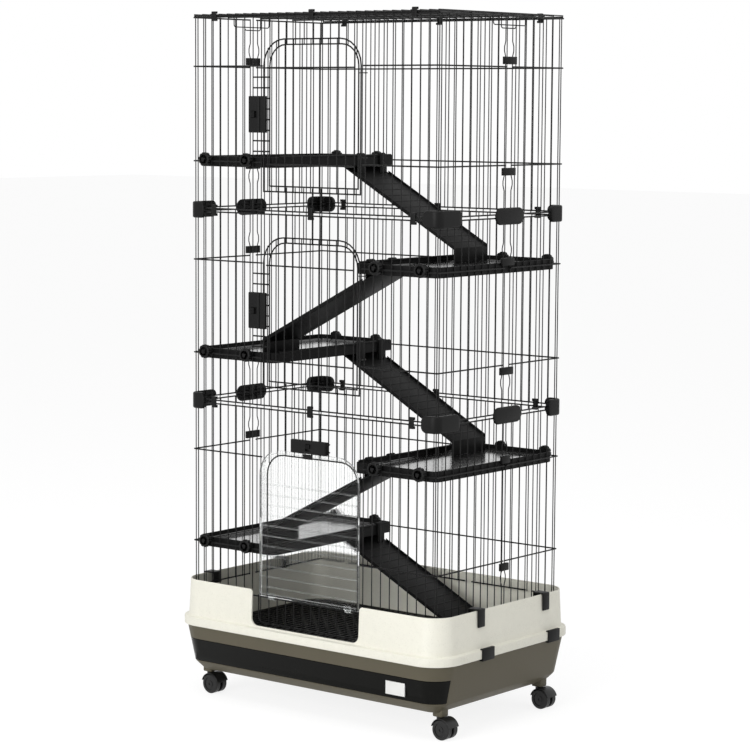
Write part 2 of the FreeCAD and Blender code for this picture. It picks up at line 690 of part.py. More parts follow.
def tub():
    """Moulded tub with a drawer opening, grid ledges, runners and caster sockets."""
    floor = TUB_FOOT + SHELL + 1
    shell = tub_form(0, TUB_FOOT).cut(tub_form(SHELL, floor))
    lid = block(-BASE_W, BASE_W, -BASE_D, BASE_D, FLANGE_TOP - SHELL - 0.3, FLANGE_TOP)
    shell = shell.cut(lid)
    opening = block(-BASE_W, BASE_W, -BASE_D, -drawer_break(), DRAWER_FOOT, DRAWER_HEAD)
    shell = shell.cut(opening)
    ledge_z = FLOOR_Z - 9.0
    deep = BASE_D / 2 - 12
    wide = BASE_W / 2 - 12
    for s in (-1, 1):
        along = block(-wide * 0.75, wide * 0.75, deep - 20, deep, ledge_z, ledge_z + 4)
        across = block(wide - 20, wide, -deep * 0.6, deep * 0.6, ledge_z, ledge_z + 4)
        if s < 0:
            along = along.mirror(V(0, 0, 0), V(0, 1, 0))
            across = across.mirror(V(0, 0, 0), V(1, 0, 0))
        shell = shell.fuse([along, across])
    depth = drawer_break() - 6
    for s in (-1, 1):
        x = s * (BASE_W / 2 - RUNNER_IN)
        shell = shell.fuse(block(x - 9, x + 9, -depth, depth, floor - 1, DRAWER_FOOT + 1))
    for name, x, y in stem_places():
        half = 13.0
        shell = shell.fuse(block(x - half, x + half, y - half, y + half, SOCKET_FOOT, floor + 16))
    bore = (STEM_R + RUN_GAP) / math.cos(math.pi / 8)
    for name, x, y in stem_places():
        hole = many_sided(V(x, y, SOCKET_FOOT - 6), UP, V(1, 0, 0), bore, 8)
        shell = shell.cut(outline_face(hole).extrude(V(0, 0, 30)))
    keep("tub", [shell.removeSplitter()])


def drawer():
    """Drawer: a front that carries on the tub's rounded face, with a shallow tray fixed behind it."""
    z0 = DRAWER_FOOT + 0.4
    z1 = DRAWER_HEAD - 0.4
    front_t = 4.0
    tray_t = 2.5
    tray_h = 38.0
    zone = block(-BASE_W, BASE_W, -BASE_D, -drawer_break() - 0.4, z0, z1)
    behind = tub_form(front_t, TUB_FOOT + 2)
    front = tub_form(0, TUB_FOOT).common(zone).cut(behind)
    half = BASE_W / 2 - 48
    back = drawer_break() - 8
    tray_z = DRAWER_FOOT + 1.0
    tray = block(-half, half, -BASE_D, back, tray_z, tray_z + tray_h).common(tub_form(front_t + WELD, TUB_FOOT + 2))
    hollow = block(-half + tray_t, half - tray_t, -BASE_D, back - tray_t, tray_z + tray_t, tray_z + 2 * tray_h)
    hollow = hollow.common(tub_form(front_t + WELD + tray_t, TUB_FOOT + 2))
    keep("drawer", [front, tray.cut(hollow)])


def floor_grid():
    """Slatted floor with staggered slots, resting on the tub's ledges."""
    ledge_top = FLOOR_Z - 5.0
    rim = tub_back(ledge_top) + SHELL + 1.0
    hx = BASE_W / 2 - rim
    hy = BASE_D / 2 - rim
    plate = prism(rounded_ring(hx, hy, CORNER_R, ledge_top, 2), 5.0)
    columns = 9
    step = (2 * hx - 60.0) / columns
    slot_l = hy - 59.5
    for k in range(columns):
        x = (k - (columns - 1) / 2) * step
        shift = 12.0 if k % 2 else -12.0
        for y in (-slot_l / 2 - 10 + shift, slot_l / 2 + 10 + shift):
            slot = block(x - 12, x + 12, y - slot_l / 2, y + slot_l / 2, 0, 2 * FLOOR_Z)
            plate = plate.cut(slot)
    keep("floor_grid", [plate])


def surround():
    """Surround: leaning wall with rounded corners, a flange skirt and a front notch."""
    hx = BASE_W / 2
    hy = BASE_D / 2
    foot = FLANGE_TOP - SHELL
    step = 11.0

    def wall_form(inset):
        rings = []
        for back, z in ((step + inset, foot), (step + SURROUND_LEAN + inset, SURROUND_TOP)):
            rings.append(rounded_ring(hx - back, hy - back, CORNER_R + step - back, z))
        return stacked(rings)

    skirt = prism(rounded_ring(hx, hy, CORNER_R + step, FLANGE_FOOT), FLANGE_H)
    inside = rounded_ring(hx - SHELL, hy - SHELL, CORNER_R + step - SHELL, FLANGE_FOOT)
    body = skirt.cut(prism(inside, FLANGE_H - SHELL)).fuse(wall_form(0)).cut(wall_form(SHELL))
    corners = [(-NOTCH_HALF, SURROUND_TOP + 40), (-NOTCH_HALF, NOTCH_Z), (NOTCH_HALF, NOTCH_Z)]
    corners.append((NOTCH_HALF, SURROUND_TOP + 40))
    points = [V(x, -hy - 20, z) for x, z in corners]
    ring = rounded_points(points, 18.0)
    notch = outline_face(ring).extrude(V(0, 70, 0))
    keep("surround", [body.cut(notch).removeSplitter()])


def surround_hooks():
    """Hooks over the top edge of the surround that carry the cage by its foot rails."""
    wall_x = BASE_W / 2 - 11.0 - SURROUND_LEAN
    rail_x = HX + RAIL_N
    top = SURROUND_TOP + 0.1
    rail_z = CAGE_FOOT + END_RAIL
    width = 25.0
    for s in (-1, 1):
        for place in HOOK_PLACES:
            y0 = s * place - width / 2
            y1 = s * place + width / 2
            x0 = rail_x + RAIL_R + 0.1
            outer = block(wall_x + 2.6, wall_x + 5.6, y0, y1, top - 38, top + 3)
            bridge = block(x0, wall_x + 5.6, y0, y1, top, top + 3)
            inner = block(x0, x0 + 3, y0, y1, rail_z - 5.0, top + 3)
            toe = block(HX + CLIP_IN, x0 + 3, y0, y1, rail_z - 5.0, rail_z - RAIL_R - 0.05)
            hook = outer.fuse([bridge, inner, toe]).removeSplitter()
            if s < 0:
                hook = hook.mirror(V(0, 0, 0), V(1, 0, 0))
            keep("surround_hooks", [hook])


def flange_clips():
    """Clips that hold the flange skirt down on the tub."""
    x0 = BASE_W / 2 + 0.15
    width = 45.0
    lip_z = FLANGE_FOOT - 1.2
    tub_x = BASE_W / 2 - tub_back(lip_z - 4)
    for s in (-1, 1):
        for place in CLIP_PLACES:
            y0 = s * place - width / 2
            y1 = s * place + width / 2
            plate = block(x0, x0 + 3, y0, y1, lip_z - 4, FLANGE_TOP + 3)
            lip = block(tub_x + 1.0, x0 + 3, y0, y1, lip_z - 4, lip_z)
            catch = block(x0 - 5, x0 + 3, y0, y1, FLANGE_TOP + 0.1, FLANGE_TOP + 3)
            clip = plate.fuse([lip, catch]).removeSplitter()
            if s < 0:
                clip = clip.mirror(V(0, 0, 0), V(1, 0, 0))
            keep("flange_clips", [clip])


def caster(name, x, y):
    """Twin-wheel caster: hood with stem and axle, and its pair of wheels."""
    axle = V(x + TRAIL, y, WHEEL_R)
    wide = 15.0
    web = 3.0
    pin_r = 3.0
    along = V(0, 1, 0)
    wheels = []
    for s in (-1, 1):
        start = axle + V(0, s * (web + 0.4) - (wide if s < 0 else 0), 0)
        wheels.append(collar(start, along * wide, UP, pin_r + RUN_GAP, WHEEL_R, 18, 6))
    keep("wheels_" + name, wheels)
    full = web + wide + 0.8
    clear = WHEEL_R + 1.0
    spread = math.radians(25.0)

    def arc(r):
        angles = [math.radians(15) + spread * k for k in range(7)]
        return [axle + V(r * math.cos(a), -full, r * math.sin(a)) for a in angles]

    ring = arc((clear + 0.2) / math.cos(spread / 2)) + arc(clear + 2.2)[::-1]
    hood = outline_face(ring).extrude(along * (2 * full))
    plate_ring = [axle + V(10, -web, -7)] + [p + V(0, full - web, 0) for p in arc(clear + 1)]
    plate_ring.append(axle + V(-10, -web, -7))
    plate = outline_face(plate_ring).extrude(along * (2 * web))
    pin = outline_face(many_sided(axle - along * (full - 2), along, UP, pin_r, 8)).extrude(along * (2 * full - 4))
    head = SOCKET_FOOT - 0.3
    neck = outline_face(many_sided(V(x, y, WHEEL_R + 18), UP, V(1, 0, 0), 9.0, 8)).extrude(V(0, 0, head - WHEEL_R - 18))
    room = many_sided(axle - along * full, along, UP, clear + 0.4, 24)
    neck = neck.cut(outline_face(room).extrude(along * (2 * full)))
    stem = outline_face(many_sided(V(x, y, head - 1), UP, V(1, 0, 0), STEM_R, 8)).extrude(V(0, 0, 22.0))
    keep("caster_" + name, [hood.fuse([plate, pin, neck, stem]).removeSplitter()])


# Platforms and ramps


def platform_levels():
    """Side and rail height of each platform, from the lowest up."""
    rails = []
    for tier in range(len(TIER_NAMES)):
        rails += [tier_foot(tier) + LOW_RAIL, tier_foot(tier) + HIGH_RAIL]
    return [(-1 if k % 2 == 0 else 1, z) for k, z in enumerate(rails[:5])]


def platform_bead(side, z):
    """Place of the round bead along a platform's inner edge."""
    return side * (PLATFORM_EDGE + RIM_T / 2), z + RIM_H / 2


def platform(index, side, z):
    """Tray platform with a rim, a beaded inner edge and holes for its clamp screws."""
    half_x = PLATFORM_W / 2
    half_y = HY - RAIL_N - RAIL_R - PLATFORM_GAP
    z0 = z - RIM_H / 2
    mid = side * (PLATFORM_OUT + PLATFORM_EDGE) / 2
    form = prism(rounded_ring(half_x, half_y, RIM_BEND, z0, 2), RIM_H)
    room = rounded_ring(half_x - RIM_T, half_y - RIM_T, RIM_BEND - RIM_T, z0 + 12.5, 2)
    under = rounded_ring(half_x - RIM_T, half_y - RIM_T, RIM_BEND - RIM_T, z0 - 1, 2)
    tray = form.cut(prism(room, RIM_H)).cut(prism(under, 11.0)).translated(V(mid, 0, 0))
    bead_x, bead_z = platform_bead(side, z)
    bead_l = 2 * (half_y - RIM_BEND)
    bead = many_sided(V(bead_x, -bead_l / 2, bead_z), V(0, 1, 0), UP, BEAD_R, 8)
    tray = tray.fuse(outline_face(bead).extrude(V(0, bead_l, 0)))
    screws = []
    for place in (HINGE_U + KNOB_IN * PITCH, HX - KNOB_IN * PITCH):
        for wall in ("front", "back"):
            u = side * place
            zs = z + RAIL_R + 2.75
            screws.append(rod(on_wall(wall, u, 0, zs), on_wall(wall, u, -14, zs), SCREW_R + 0.2, UP))
            keep("clamp_knobs", [clamp_knob(wall, u, zs)])
    tray = tray.cut(Part.makeCompound(screws))
    keep("platform_%d" % (index + 1), [tray.removeSplitter()])


def clamp_knob(wall, u, z):
    """Ten-sided knob outside the rail, with its screw through the panel into the rim."""
    n0 = RAIL_N + RAIL_R + 0.2
    outline = many_sided(on_wall(wall, u, n0, z), outward(wall), UP, KNOB_R, 10)
    head = outline_face(outline).extrude(outward(wall) * KNOB_DEPTH)
    screw = rod(on_wall(wall, u, n0 + 1, z), on_wall(wall, u, -10, z), SCREW_R, UP)
    return head.fuse(screw)


def ramp(index, side, z):
    """Ramp hung from a platform's bead by two claws, its leg on the level below."""
    levels = platform_levels()
    below = FLOOR_Z if index == 0 else levels[index - 1][1] - RIM_H / 2 + 12.5
    bead_x, bead_z = platform_bead(side, z)
    drop = bead_z - below - 0.1
    fall = (drop - RAMP_LEG - RAMP_HANG) / RAMP_REACH

    def strip(x0, x1, over, under, y, width):
        """Slanting strip of the plank between two heights over its face."""
        ends = [(x0, over), (x1, over), (x1, under), (x0, under)]
        return side_plate([(x, lift - RAMP_HANG - fall * x) for x, lift in ends], y, width)

    half = RAMP_W / 2
    body = strip(-RAMP_TUCK, RAMP_REACH, 0, -RAMP_T, 0, RAMP_W)
    body = body.fuse(block(RAMP_REACH - SHELL, RAMP_REACH, -half, half, -drop, -drop + RAMP_LEG))
    for s in (-1, 1):
        body = body.fuse(strip(BEAD_R, RAMP_REACH, RAMP_LIP, -RAMP_T, s * (half - SHELL / 2), SHELL))
        body = body.fuse(ramp_claw(s * half * 0.6))
    step = RAMP_REACH / (RAMP_TREADS + 1)
    for k in range(1, RAMP_TREADS + 1):
        body = body.fuse(strip(k * step - 2, k * step + 2, 2.0, -1, 0, RAMP_W - SHELL))
    body = body.removeSplitter()
    if side > 0:
        body = body.mirror(V(0, 0, 0), V(1, 0, 0))
    y = side * (RAMP_IN - HY)
    keep("ramp_%d" % (index + 1), [body.translated(V(bead_x, y, bead_z))])


def side_plate(ring, y, width):
    """Upright outline drawn out across the ramp."""
    return outline_face([V(x, y - width / 2, z) for x, z in ring]).extrude(V(0, width, 0))


def ramp_claw(y):
    """Claw round the bead, with an arm that hangs outside the rim down to the plank."""
    width = 22.0
    first = -40.0
    step = 37.0
    last = 6
    angles = [math.radians(first + step * k) for k in range(last + 1)]
    inner = (BEAD_R + 0.1) / math.cos(math.radians(step / 2))
    outer = BEAD_R + 3.4
    ring = []
    for r, order in ((inner, angles), (outer, angles[::-1])):
        for a in order:
            ring.append((r * math.cos(a), r * math.sin(a)))
    arm = [(BEAD_R + 0.4, 0), (outer, 0), (outer, -RAMP_HANG - 5), (BEAD_R + 0.4, -RAMP_HANG - 5)]
    return side_plate(ring, y, width).fuse(side_plate(arm, y, width))


def build():
    for tier in range(len(TIER_NAMES)):
        panel_front(tier)
        panel_back(tier)
        panel_side("left", tier)
        panel_side("right", tier)
        doorway(tier)
    panel_roof()
    joining_pieces()
    for tier in (1, 2):
        wire_door(tier)
        side_latch(tier)
    ramp_door()
    head_latch()
    surround()
    surround_hooks()
    flange_clips()
    tub()
    drawer()
    floor_grid()
    for name, x, y in stem_places():
        caster(name, x, y)
    for index, (side, z) in enumerate(platform_levels()):
        platform(index, side, z)
        ramp(index, side, z)


def save():
    os.makedirs("parts", exist_ok=True)
    for name, shapes in NODES.items():
        shape = shapes[0] if len(shapes) == 1 else Part.makeCompound(shapes)
        shape.exportStep("parts/%s.step" % name)


build()
save()
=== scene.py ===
import json
import math

import bmesh
import bpy
from bpy.props import FloatProperty, FloatVectorProperty, IntProperty, PointerProperty
from mathutils import Matrix, Vector


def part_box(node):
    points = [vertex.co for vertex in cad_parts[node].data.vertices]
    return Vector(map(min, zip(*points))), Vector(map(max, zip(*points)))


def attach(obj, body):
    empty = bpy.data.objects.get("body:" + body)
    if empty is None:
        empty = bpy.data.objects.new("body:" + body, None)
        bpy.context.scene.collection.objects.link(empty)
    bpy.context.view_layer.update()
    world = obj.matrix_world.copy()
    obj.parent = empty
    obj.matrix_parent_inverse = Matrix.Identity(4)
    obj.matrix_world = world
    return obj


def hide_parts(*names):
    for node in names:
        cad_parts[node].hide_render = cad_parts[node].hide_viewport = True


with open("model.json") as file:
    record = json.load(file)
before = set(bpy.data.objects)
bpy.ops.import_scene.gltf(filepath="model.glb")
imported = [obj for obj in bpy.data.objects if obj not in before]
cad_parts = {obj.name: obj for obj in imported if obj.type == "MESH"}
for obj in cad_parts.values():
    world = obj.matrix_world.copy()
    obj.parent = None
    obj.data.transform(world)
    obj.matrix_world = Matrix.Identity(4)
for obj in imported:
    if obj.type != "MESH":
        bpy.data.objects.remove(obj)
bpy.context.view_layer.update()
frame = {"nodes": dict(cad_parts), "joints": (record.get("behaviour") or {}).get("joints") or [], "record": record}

bl_info = {
    "name": "Small animal cage",
    "version": (1, 0, 0),
    "blender": (4, 5, 0),
    "location": "3D View > Sidebar > Cage",
    "description": "Dresses a three-tier wire cage on a wheeled base",
    "category": "Add Mesh",
}

SLIGHT = 0.0002  # Keeps two rings at one height apart
TIERS = ("lower", "middle", "upper")
WHEEL_PLACES = ("front_left", "front_right", "back_left", "back_right")
BODY_OF = {n: body for body, names in frame["record"]["behaviour"]["bodies"].items() for n in names}
JOINT_AT = {j["name"]: Vector(j["pos_m"]) for j in frame["joints"] if "pos_m" in j}
LEAST_BEND = 0.002  # Smallest corner of a ring
TALL_WIRE = 0.1  # Upright bars and door frames are taller than this
BULGE_BEND = 0.006  # Bend of a seam bar at its bulges
BASE_STEPS = 12  # Points on each rounded corner of the base
TUB_KNEE = 0.034  # Bend of the tub's wall above the tub's lowest point
KNEE_IN = 0.0255  # How far inside the flange the tub's wall is at that bend
RIM_IN = 0.0040  # How far inside it is at the rim
POCKET_HALF = 0.0095  # Half the length of a keeper's pocket
SENSOR = 36.0  # Width of the camera's sensor in millimetres
FAR = 200.0  # How far the camera sees
FLOOR_HALF = 30.0  # Half the width of the studio floor
FLOOR_GLOW = 1.18  # Strength of the floor's own light
FLOOR_SHARE = 0.72  # Share of that light in what the camera sees of the floor
SEEN_RAYS = ("Is Camera Ray", "Is Glossy Ray", "Is Transmission Ray")
LAMPS = (("front_light", (0.2, -4.6, 1.7), (0, -0.2, 0.5), 2.4, "key"),
         ("top_light", (0.3, -1.0, 4.2), (0, 0, 0.6), 3.0, "top"),
         ("side_light", (4.2, 1.0, 2.6), (0.2, 0, 0.7), 2.6, "fill"))
MIDDLE = Vector((0, 0, 0))
X_AXIS = Vector((1, 0, 0))
Y_AXIS = Vector((0, 1, 0))
Z_AXIS = Vector((0, 0, 1))


# Settings that a user would change


def length(name, description, default):
    return FloatProperty(name=name, description=description, default=default, unit="LENGTH", precision=5)


def colour(name, description, default):
    return FloatVectorProperty(
        name=name, description=description, default=default, subtype="COLOR", min=0, max=1)


class CageSizes(bpy.types.PropertyGroup):
    """Sizes of the finish that the frame doesn't give."""

    wire_sides: IntProperty(name="Wire sides", description="Flats round a wire", default=10, min=6)
    doorway_bend: length("Doorway bend", "Bend at the top of a doorway frame", 0.048)
    door_bend: length("Door bend", "Bend at the top of a door frame", 0.060)
    dip_bend: length("Dip bend", "Bend of the front frame wire in the notch", 0.016)
    stirrup_bend: length("Stirrup bend", "Bend of the stirrups under the roof", 0.006)
    bulge_out: length("Seam bulge", "How far a seam bar bulges sideways", 0.0045)
    bulge_length: length("Bulge length", "Height of one bulge", 0.034)
    corner_bend: length("Corner bend", "Rounded corner of a corner piece", 0.020)
    corner_end: length("Corner end", "Rounded ends of a corner piece", 0.012)
    base_corner: length("Base corner", "Rounded corner of the base at the flange", 0.071)
    shell: length("Shell", "Wall of the base mouldings", 0.003)
    notch_bend: length("Notch bend", "Rounded lower corners of the notch", 0.018)
    rim_bend: length("Rim bend", "Rounded corners of a platform", 0.020)
    rim_wall: length("Rim wall", "Wall of a platform's rim", 0.003)
    bead: length("Bead", "Radius of the bead on a platform's edge", 0.003)


class CageColours(bpy.types.PropertyGroup):
    """Colours of the finishes."""

    wire: colour("Wire", "Satin black enamel", (0.006, 0.006, 0.006))
    fittings: colour("Fittings", "Black moulded fittings", (0.0070, 0.0070, 0.0070))
    shelf: colour("Shelves", "Black platforms and ramps", (0.0045, 0.0045, 0.0045))
    cream: colour("Cream", "Surround", (0.800, 0.785, 0.690))
    fleck: colour("Fleck", "Specks in the cream", (0.520, 0.500, 0.420))
    taupe: colour("Taupe", "Tub", (0.108, 0.096, 0.066))
    drawer: colour("Drawer", "Gloss black drawer", (0.0050, 0.0050, 0.0042))
    # Tint of the clear plastic; on the clear door's edges it also shows as the white of a painted glint
    clear: colour("Clear", "Clear door", (0.93, 0.95, 0.94))
    caster: colour("Casters", "Casters and wheels", (0.012, 0.012, 0.012))
    label: colour("Label", "Bare label on the drawer", (0.82, 0.82, 0.80))
    steel: colour("Steel", "Screw heads in the knobs", (0.55, 0.55, 0.54))


class CageStage(bpy.types.PropertyGroup):
    """Camera, light and floor."""

    camera_place: FloatVectorProperty(
        name="Camera", description="Where the camera stands", unit="LENGTH",
        default=(3.6414, -4.5317, 1.4033))
    camera_turn: FloatVectorProperty(
        name="Turn", description="Heading, dip and roll of the camera", subtype="EULER",
        default=(-0.6769, 0.1084, 0.0064))
    lens: FloatProperty(name="Lens", description="Focal length in millimetres", default=120.37)
    key: FloatProperty(name="Key light", description="Watts of the front light", default=104.0)
    fill: FloatProperty(name="Fill light", description="Watts of the side light", default=30.0)
    top: FloatProperty(name="Top light", description="Watts of the light overhead", default=60.0)
    sky: FloatProperty(name="Sky", description="Even light from all round", default=0.40)


# Shader maths


class Value:
    """A socket in a finish; sums on it add Math nodes."""

    def __init__(self, finish, socket):
        self.finish = finish
        self.socket = socket

    def sum(self, operation, a, b):
        return self.finish.node("ShaderNodeMath", {"operation": operation}, {0: a, 1: b})

    def __add__(self, other):
        return self.sum("ADD", self, other)

    def __sub__(self, other):
        return self.sum("SUBTRACT", self, other)

    def __rsub__(self, other):
        return self.sum("SUBTRACT", other, self)

    def __mul__(self, other):
        return self.sum("MULTIPLY", self, other)

    def __gt__(self, other):
        return self.sum("GREATER_THAN", self, other)

    __radd__ = __add__
    __rmul__ = __mul__


class Finish:
    """One procedural material on Object coordinates."""

    def __init__(self, name):
        self.material = bpy.data.materials.new(name)
        self.material.use_nodes = True
        self.tree = self.material.node_tree
        self.shader = self.tree.nodes["Principled BSDF"]
        self.place = self.node("ShaderNodeTexCoord", {}, {}, "Object")

    def node(self, kind, settings, sockets, out=0):
        made = self.tree.nodes.new(kind)
        for key, value in settings.items():
            if key == "stops":
                for stop, (at, tone) in zip(made.color_ramp.elements, value):
                    stop.position = at
                    stop.color = tone
            else:
                setattr(made, key, value)
        for key, value in sockets.items():
            self.feed(made.inputs[key], value)
        return Value(self, made.outputs[out])

    def feed(self, socket, value):
        if isinstance(value, Value):
            self.tree.links.new(value.socket, socket)
        else:
            socket.default_value = value

    def set(self, **sockets):
        for key, value in sockets.items():
            self.feed(self.shader.inputs[key.replace("_", " ")], value)

    def noise(self, scale, detail=2.0, rough=0.5):
        sockets = {"Vector": self.place, "Scale": scale, "Detail": detail, "Roughness": rough}
        return self.node("ShaderNodeTexNoise", {}, sockets, "Fac")

    def mix(self, factor, a, b):
        return self.node("ShaderNodeMix", {"data_type": "RGBA"}, {0: factor, 6: a, 7: b}, 2)

    def bump(self, height, distance, strength):
        sockets = {"Height": height, "Distance": distance, "Strength": strength}
        self.set(Normal=self.node("ShaderNodeBump", {}, sockets))


def full(tone, scale=1.0):
    """A colour with its alpha."""
    return (tone[0] * scale, tone[1] * scale, tone[2] * scale, 1.0)


def moulded(name, tone, rough, grain, shine, spread=0.35):
    """Moulded plastic: faint clouding, a fine grain and a roughness that varies."""
    finish = Finish(name)
    finish.set(Specular_IOR_Level=shine)
    cloud = finish.noise(14.0, 3.0)
    fine = finish.noise(grain, 2.0)
    finish.set(Base_Color=finish.mix(cloud, full(tone, 1 - spread), full(tone, 1 + spread)))
    finish.set(Roughness=rough - 0.06 + cloud * 0.08 + fine * 0.05)
    finish.bump(fine, 0.0002, 0.5)
    return finish.material


def finish_wire(tones):
    """Satin enamel on wire."""
    finish = Finish("satin_black_enamel")
    cloud = finish.noise(30.0, 3.0)
    peel = finish.noise(900.0)
    finish.set(Base_Color=finish.mix(cloud, full(tones.wire, 0.7), full(tones.wire, 1.4)))
    finish.set(Roughness=0.30 + cloud * 0.14, Specular_IOR_Level=0.16)
    finish.bump(peel, 0.0002, 0.35)
    return finish.material


def finish_cream(tones):
    """Cream plastic with small specks all through it."""
    finish = Finish("speckled_cream")
    cells = {"Vector": finish.place, "Scale": 420.0}
    specks = finish.node("ShaderNodeTexVoronoi", {}, cells, "Distance")
    which = finish.node("ShaderNodeTexVoronoi", {}, cells, "Color")
    chance = finish.node("ShaderNodeSeparateColor", {}, {"Color": which}, "Red")
    ramp = {"stops": [(0.16, (1, 1, 1, 1)), (0.34, (0, 0, 0, 1))]}
    dot = finish.node("ShaderNodeValToRGB", ramp, {"Fac": specks})
    mask = dot * (chance > 0.72) * 0.55
    cloud = finish.noise(60.0, 4.0, 0.65)
    base = finish.mix(cloud, full(tones.cream, 0.95), full(tones.cream, 1.05))
    finish.set(Base_Color=finish.mix(mask, base, full(tones.fleck)))
    finish.set(Roughness=0.42 + cloud * 0.12)
    finish.bump(finish.noise(1400.0, 2.0), 0.0002, 0.25)
    return finish.material


def finish_clear(name, tones, cover, through, bend):
    """Clear plastic with faint scuffs; the bend is how much it turns the light. Where through is below one, the
    rest shows as diffuse white, which paints a white glint.
    """
    finish = Finish(name)
    scuff = finish.noise(90.0, 6.0, 0.7)
    finish.set(Base_Color=full(tones.clear), IOR=bend, Alpha=cover, Transmission_Weight=through)
    finish.set(Roughness=scuff * 0.014, Coat_Weight=0.5)
    return finish.material


def finish_gloss(tones):
    """Gloss black drawer front with a soft clouding in its shine."""
    finish = Finish("gloss_black")
    cloud = finish.noise(9.0, 4.0)
    finish.set(Base_Color=finish.mix(cloud, full(tones.drawer, 0.8), full(tones.drawer, 1.2)))
    finish.set(Roughness=0.16 + cloud * 0.10, Specular_IOR_Level=0.09)
    finish.bump(finish.noise(500.0), 0.0001, 0.2)
    return finish.material


def finish_shelf_floor(tones):
    """Smooth shiny floor of a platform."""
    finish = Finish("shelf_floor")
    cloud = finish.noise(22.0, 4.0)
    finish.set(Base_Color=finish.mix(cloud, full(tones.shelf, 0.9), full(tones.shelf, 1.5)))
    finish.set(Roughness=0.20 + cloud * 0.14, Coat_Weight=0.9, Coat_Roughness=0.12)
    finish.bump(finish.noise(160.0, 3.0), 0.0003, 0.15)
    return finish.material


FINISHES = {}


def make_finishes():
    """All materials, under the names that the pieces ask for."""
    tones = bpy.context.scene.cage_colours
    FINISHES["wire"] = finish_wire(tones)
    FINISHES["fittings"] = moulded("black_fittings", tones.fittings, 0.42, 1100.0, 0.13)
    FINISHES["shelf"] = moulded("black_shelf", tones.shelf, 0.52, 900.0, 0.11)
    FINISHES["shelf_floor"] = finish_shelf_floor(tones)
    FINISHES["cream"] = finish_cream(tones)
    FINISHES["taupe"] = moulded("taupe", tones.taupe, 0.50, 1200.0, 0.20, 0.06)
    FINISHES["drawer"] = finish_gloss(tones)
    FINISHES["clear"] = finish_clear("clear_plastic", tones, 0.40, 1.0, 1.015)
    # Edge finish: about a quarter diffuse white and less see-through, so the door's edges and tread tops show
    # white as a painted glint
    FINISHES["clear_edge"] = finish_clear("clear_edge", tones, 0.85, 0.74, 1.38)
    FINISHES["caster"] = moulded("caster_black", tones.caster, 0.34, 800.0, 0.30)
    FINISHES["steel"] = moulded("screw_steel", tones.steel, 0.32, 700.0, 0.5, 0.08)
    FINISHES["label"] = moulded("bare_label", tones.label, 0.45, 1500.0, 0.4, 0.03)


# Mesh helpers


def sizes():
    return bpy.context.scene.cage_sizes


def merged(node):
    """Copy of a CAD mesh with its corners merged."""
    bm = bmesh.new()
    bm.from_mesh(frame["nodes"][node].data)
    bmesh.ops.remove_doubles(bm, verts=bm.verts, dist=1e-6)
    return bm


def solids(node):
    """Corners of each separate solid of a CAD node."""
    bm = merged(node)
    seen = set()
    found = []
    for start in bm.verts:
        if start in seen:
            continue
        seen.add(start)
        group = [start]
        for vert in group:
            for edge in vert.link_edges:
                other = edge.other_vert(vert)
                if other not in seen:
                    seen.add(other)
                    group.append(other)
        found.append([v.co.copy() for v in group])
    bm.free()
    return found


def corners(points):
    """Lowest and highest corner of some points."""
    low = Vector([min(p[k] for p in points) for k in range(3)])
    high = Vector([max(p[k] for p in points) for k in range(3)])
    return low, high


def boxes(node):
    """Box of each separate solid of a CAD node."""
    return [corners(points) for points in solids(node)]


def outward(low, high, axis):
    """Side of the cage that a box lies on, with its outer and inner face there."""
    if low[axis] > 0:
        return 1, high[axis], low[axis]
    return -1, low[axis], high[axis]


def to_object(bm, name):
    """New object in the scene from a bmesh, which is freed."""
    mesh = bpy.data.meshes.new(name)
    bm.to_mesh(mesh)
    bm.free()
    made = bpy.data.objects.new(name, mesh)
    bpy.context.scene.collection.objects.link(made)
    return made


def make_piece(bm, name, body, finishes, sharp=40.0):
    """Turn a bmesh into a piece that rides on a body."""
    bmesh.ops.recalc_face_normals(bm, faces=bm.faces)
    piece = to_object(bm, name)
    for finish in finishes:
        piece.data.materials.append(FINISHES[finish])
    piece.data.shade_smooth()
    piece.data.set_sharp_from_angle(angle=math.radians(sharp))
    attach(piece, body)
    return piece


def dress(bm, name, node, finishes, sharp=40.0):
    """Turn a bmesh into the piece that stands for a CAD node."""
    piece = make_piece(bm, name, BODY_OF[node], finishes, sharp)
    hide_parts(node)


def soften(bm, edges, offset, segments=2):
    """Round some edges."""
    bmesh.ops.bevel(bm, geom=edges, offset=offset, offset_type="OFFSET", segments=segments, profile=0.5,
                    affect="EDGES", clamp_overlap=True, material=-1)


def sharp_edges(faces, degrees=40.0):
    """Edges among some faces that turn by more than an angle."""
    limit = math.radians(degrees)
    edges = {e for f in faces for e in f.edges}
    return [e for e in edges if len(e.link_faces) == 2 and e.calc_face_angle(0) > limit]


def edges_at(verts):
    """Edges that meet some corners."""
    return list({e for v in verts for e in v.link_edges})


def add_block(bm, low, high, soft=None, segments=2):
    """Box between two corners with soft edges."""
    low, high = corners((low, high))
    size = high - low
    place = Matrix.Translation((low + high) / 2) @ Matrix.Diagonal((*size, 1))
    made = bmesh.ops.create_cube(bm, size=1.0, matrix=place)["verts"]
    if soft:
        soften(bm, edges_at(made), min(soft, 0.45 * min(size)), segments)


def add_box(bm, x, y, z, soft=None, segments=2):
    """Box from its two faces along each axis."""
    add_block(bm, *(Vector((x[k], y[k], z[k])) for k in range(2)), soft, segments)


def around(middle, half):
    """Two faces on either side of a middle."""
    return middle - half, middle + half


def facing(direction):
    """Turn that sends +Z along a direction."""
    return direction.to_track_quat("Z", "Y").to_matrix().to_4x4()


def add_rod(bm, a, b, radius, sides):
    """Round rod from a to b."""
    run = b - a
    place = Matrix.Translation((a + b) / 2) @ facing(run)
    made = bmesh.ops.create_cone(bm, cap_ends=True, segments=sides, radius1=radius, radius2=radius,
                                 depth=run.length, matrix=place)
    return made["verts"]


def sweep(bm, geom, centre, axis, angle, steps, merge=False):
    """Turn some parts about an axis and leave faces behind them; gives the parts at the end."""
    made = bmesh.ops.spin(bm, geom=geom, cent=centre, axis=axis, angle=angle, steps=steps, use_merge=merge,
                          use_duplicate=False)
    return made["geom_last"]


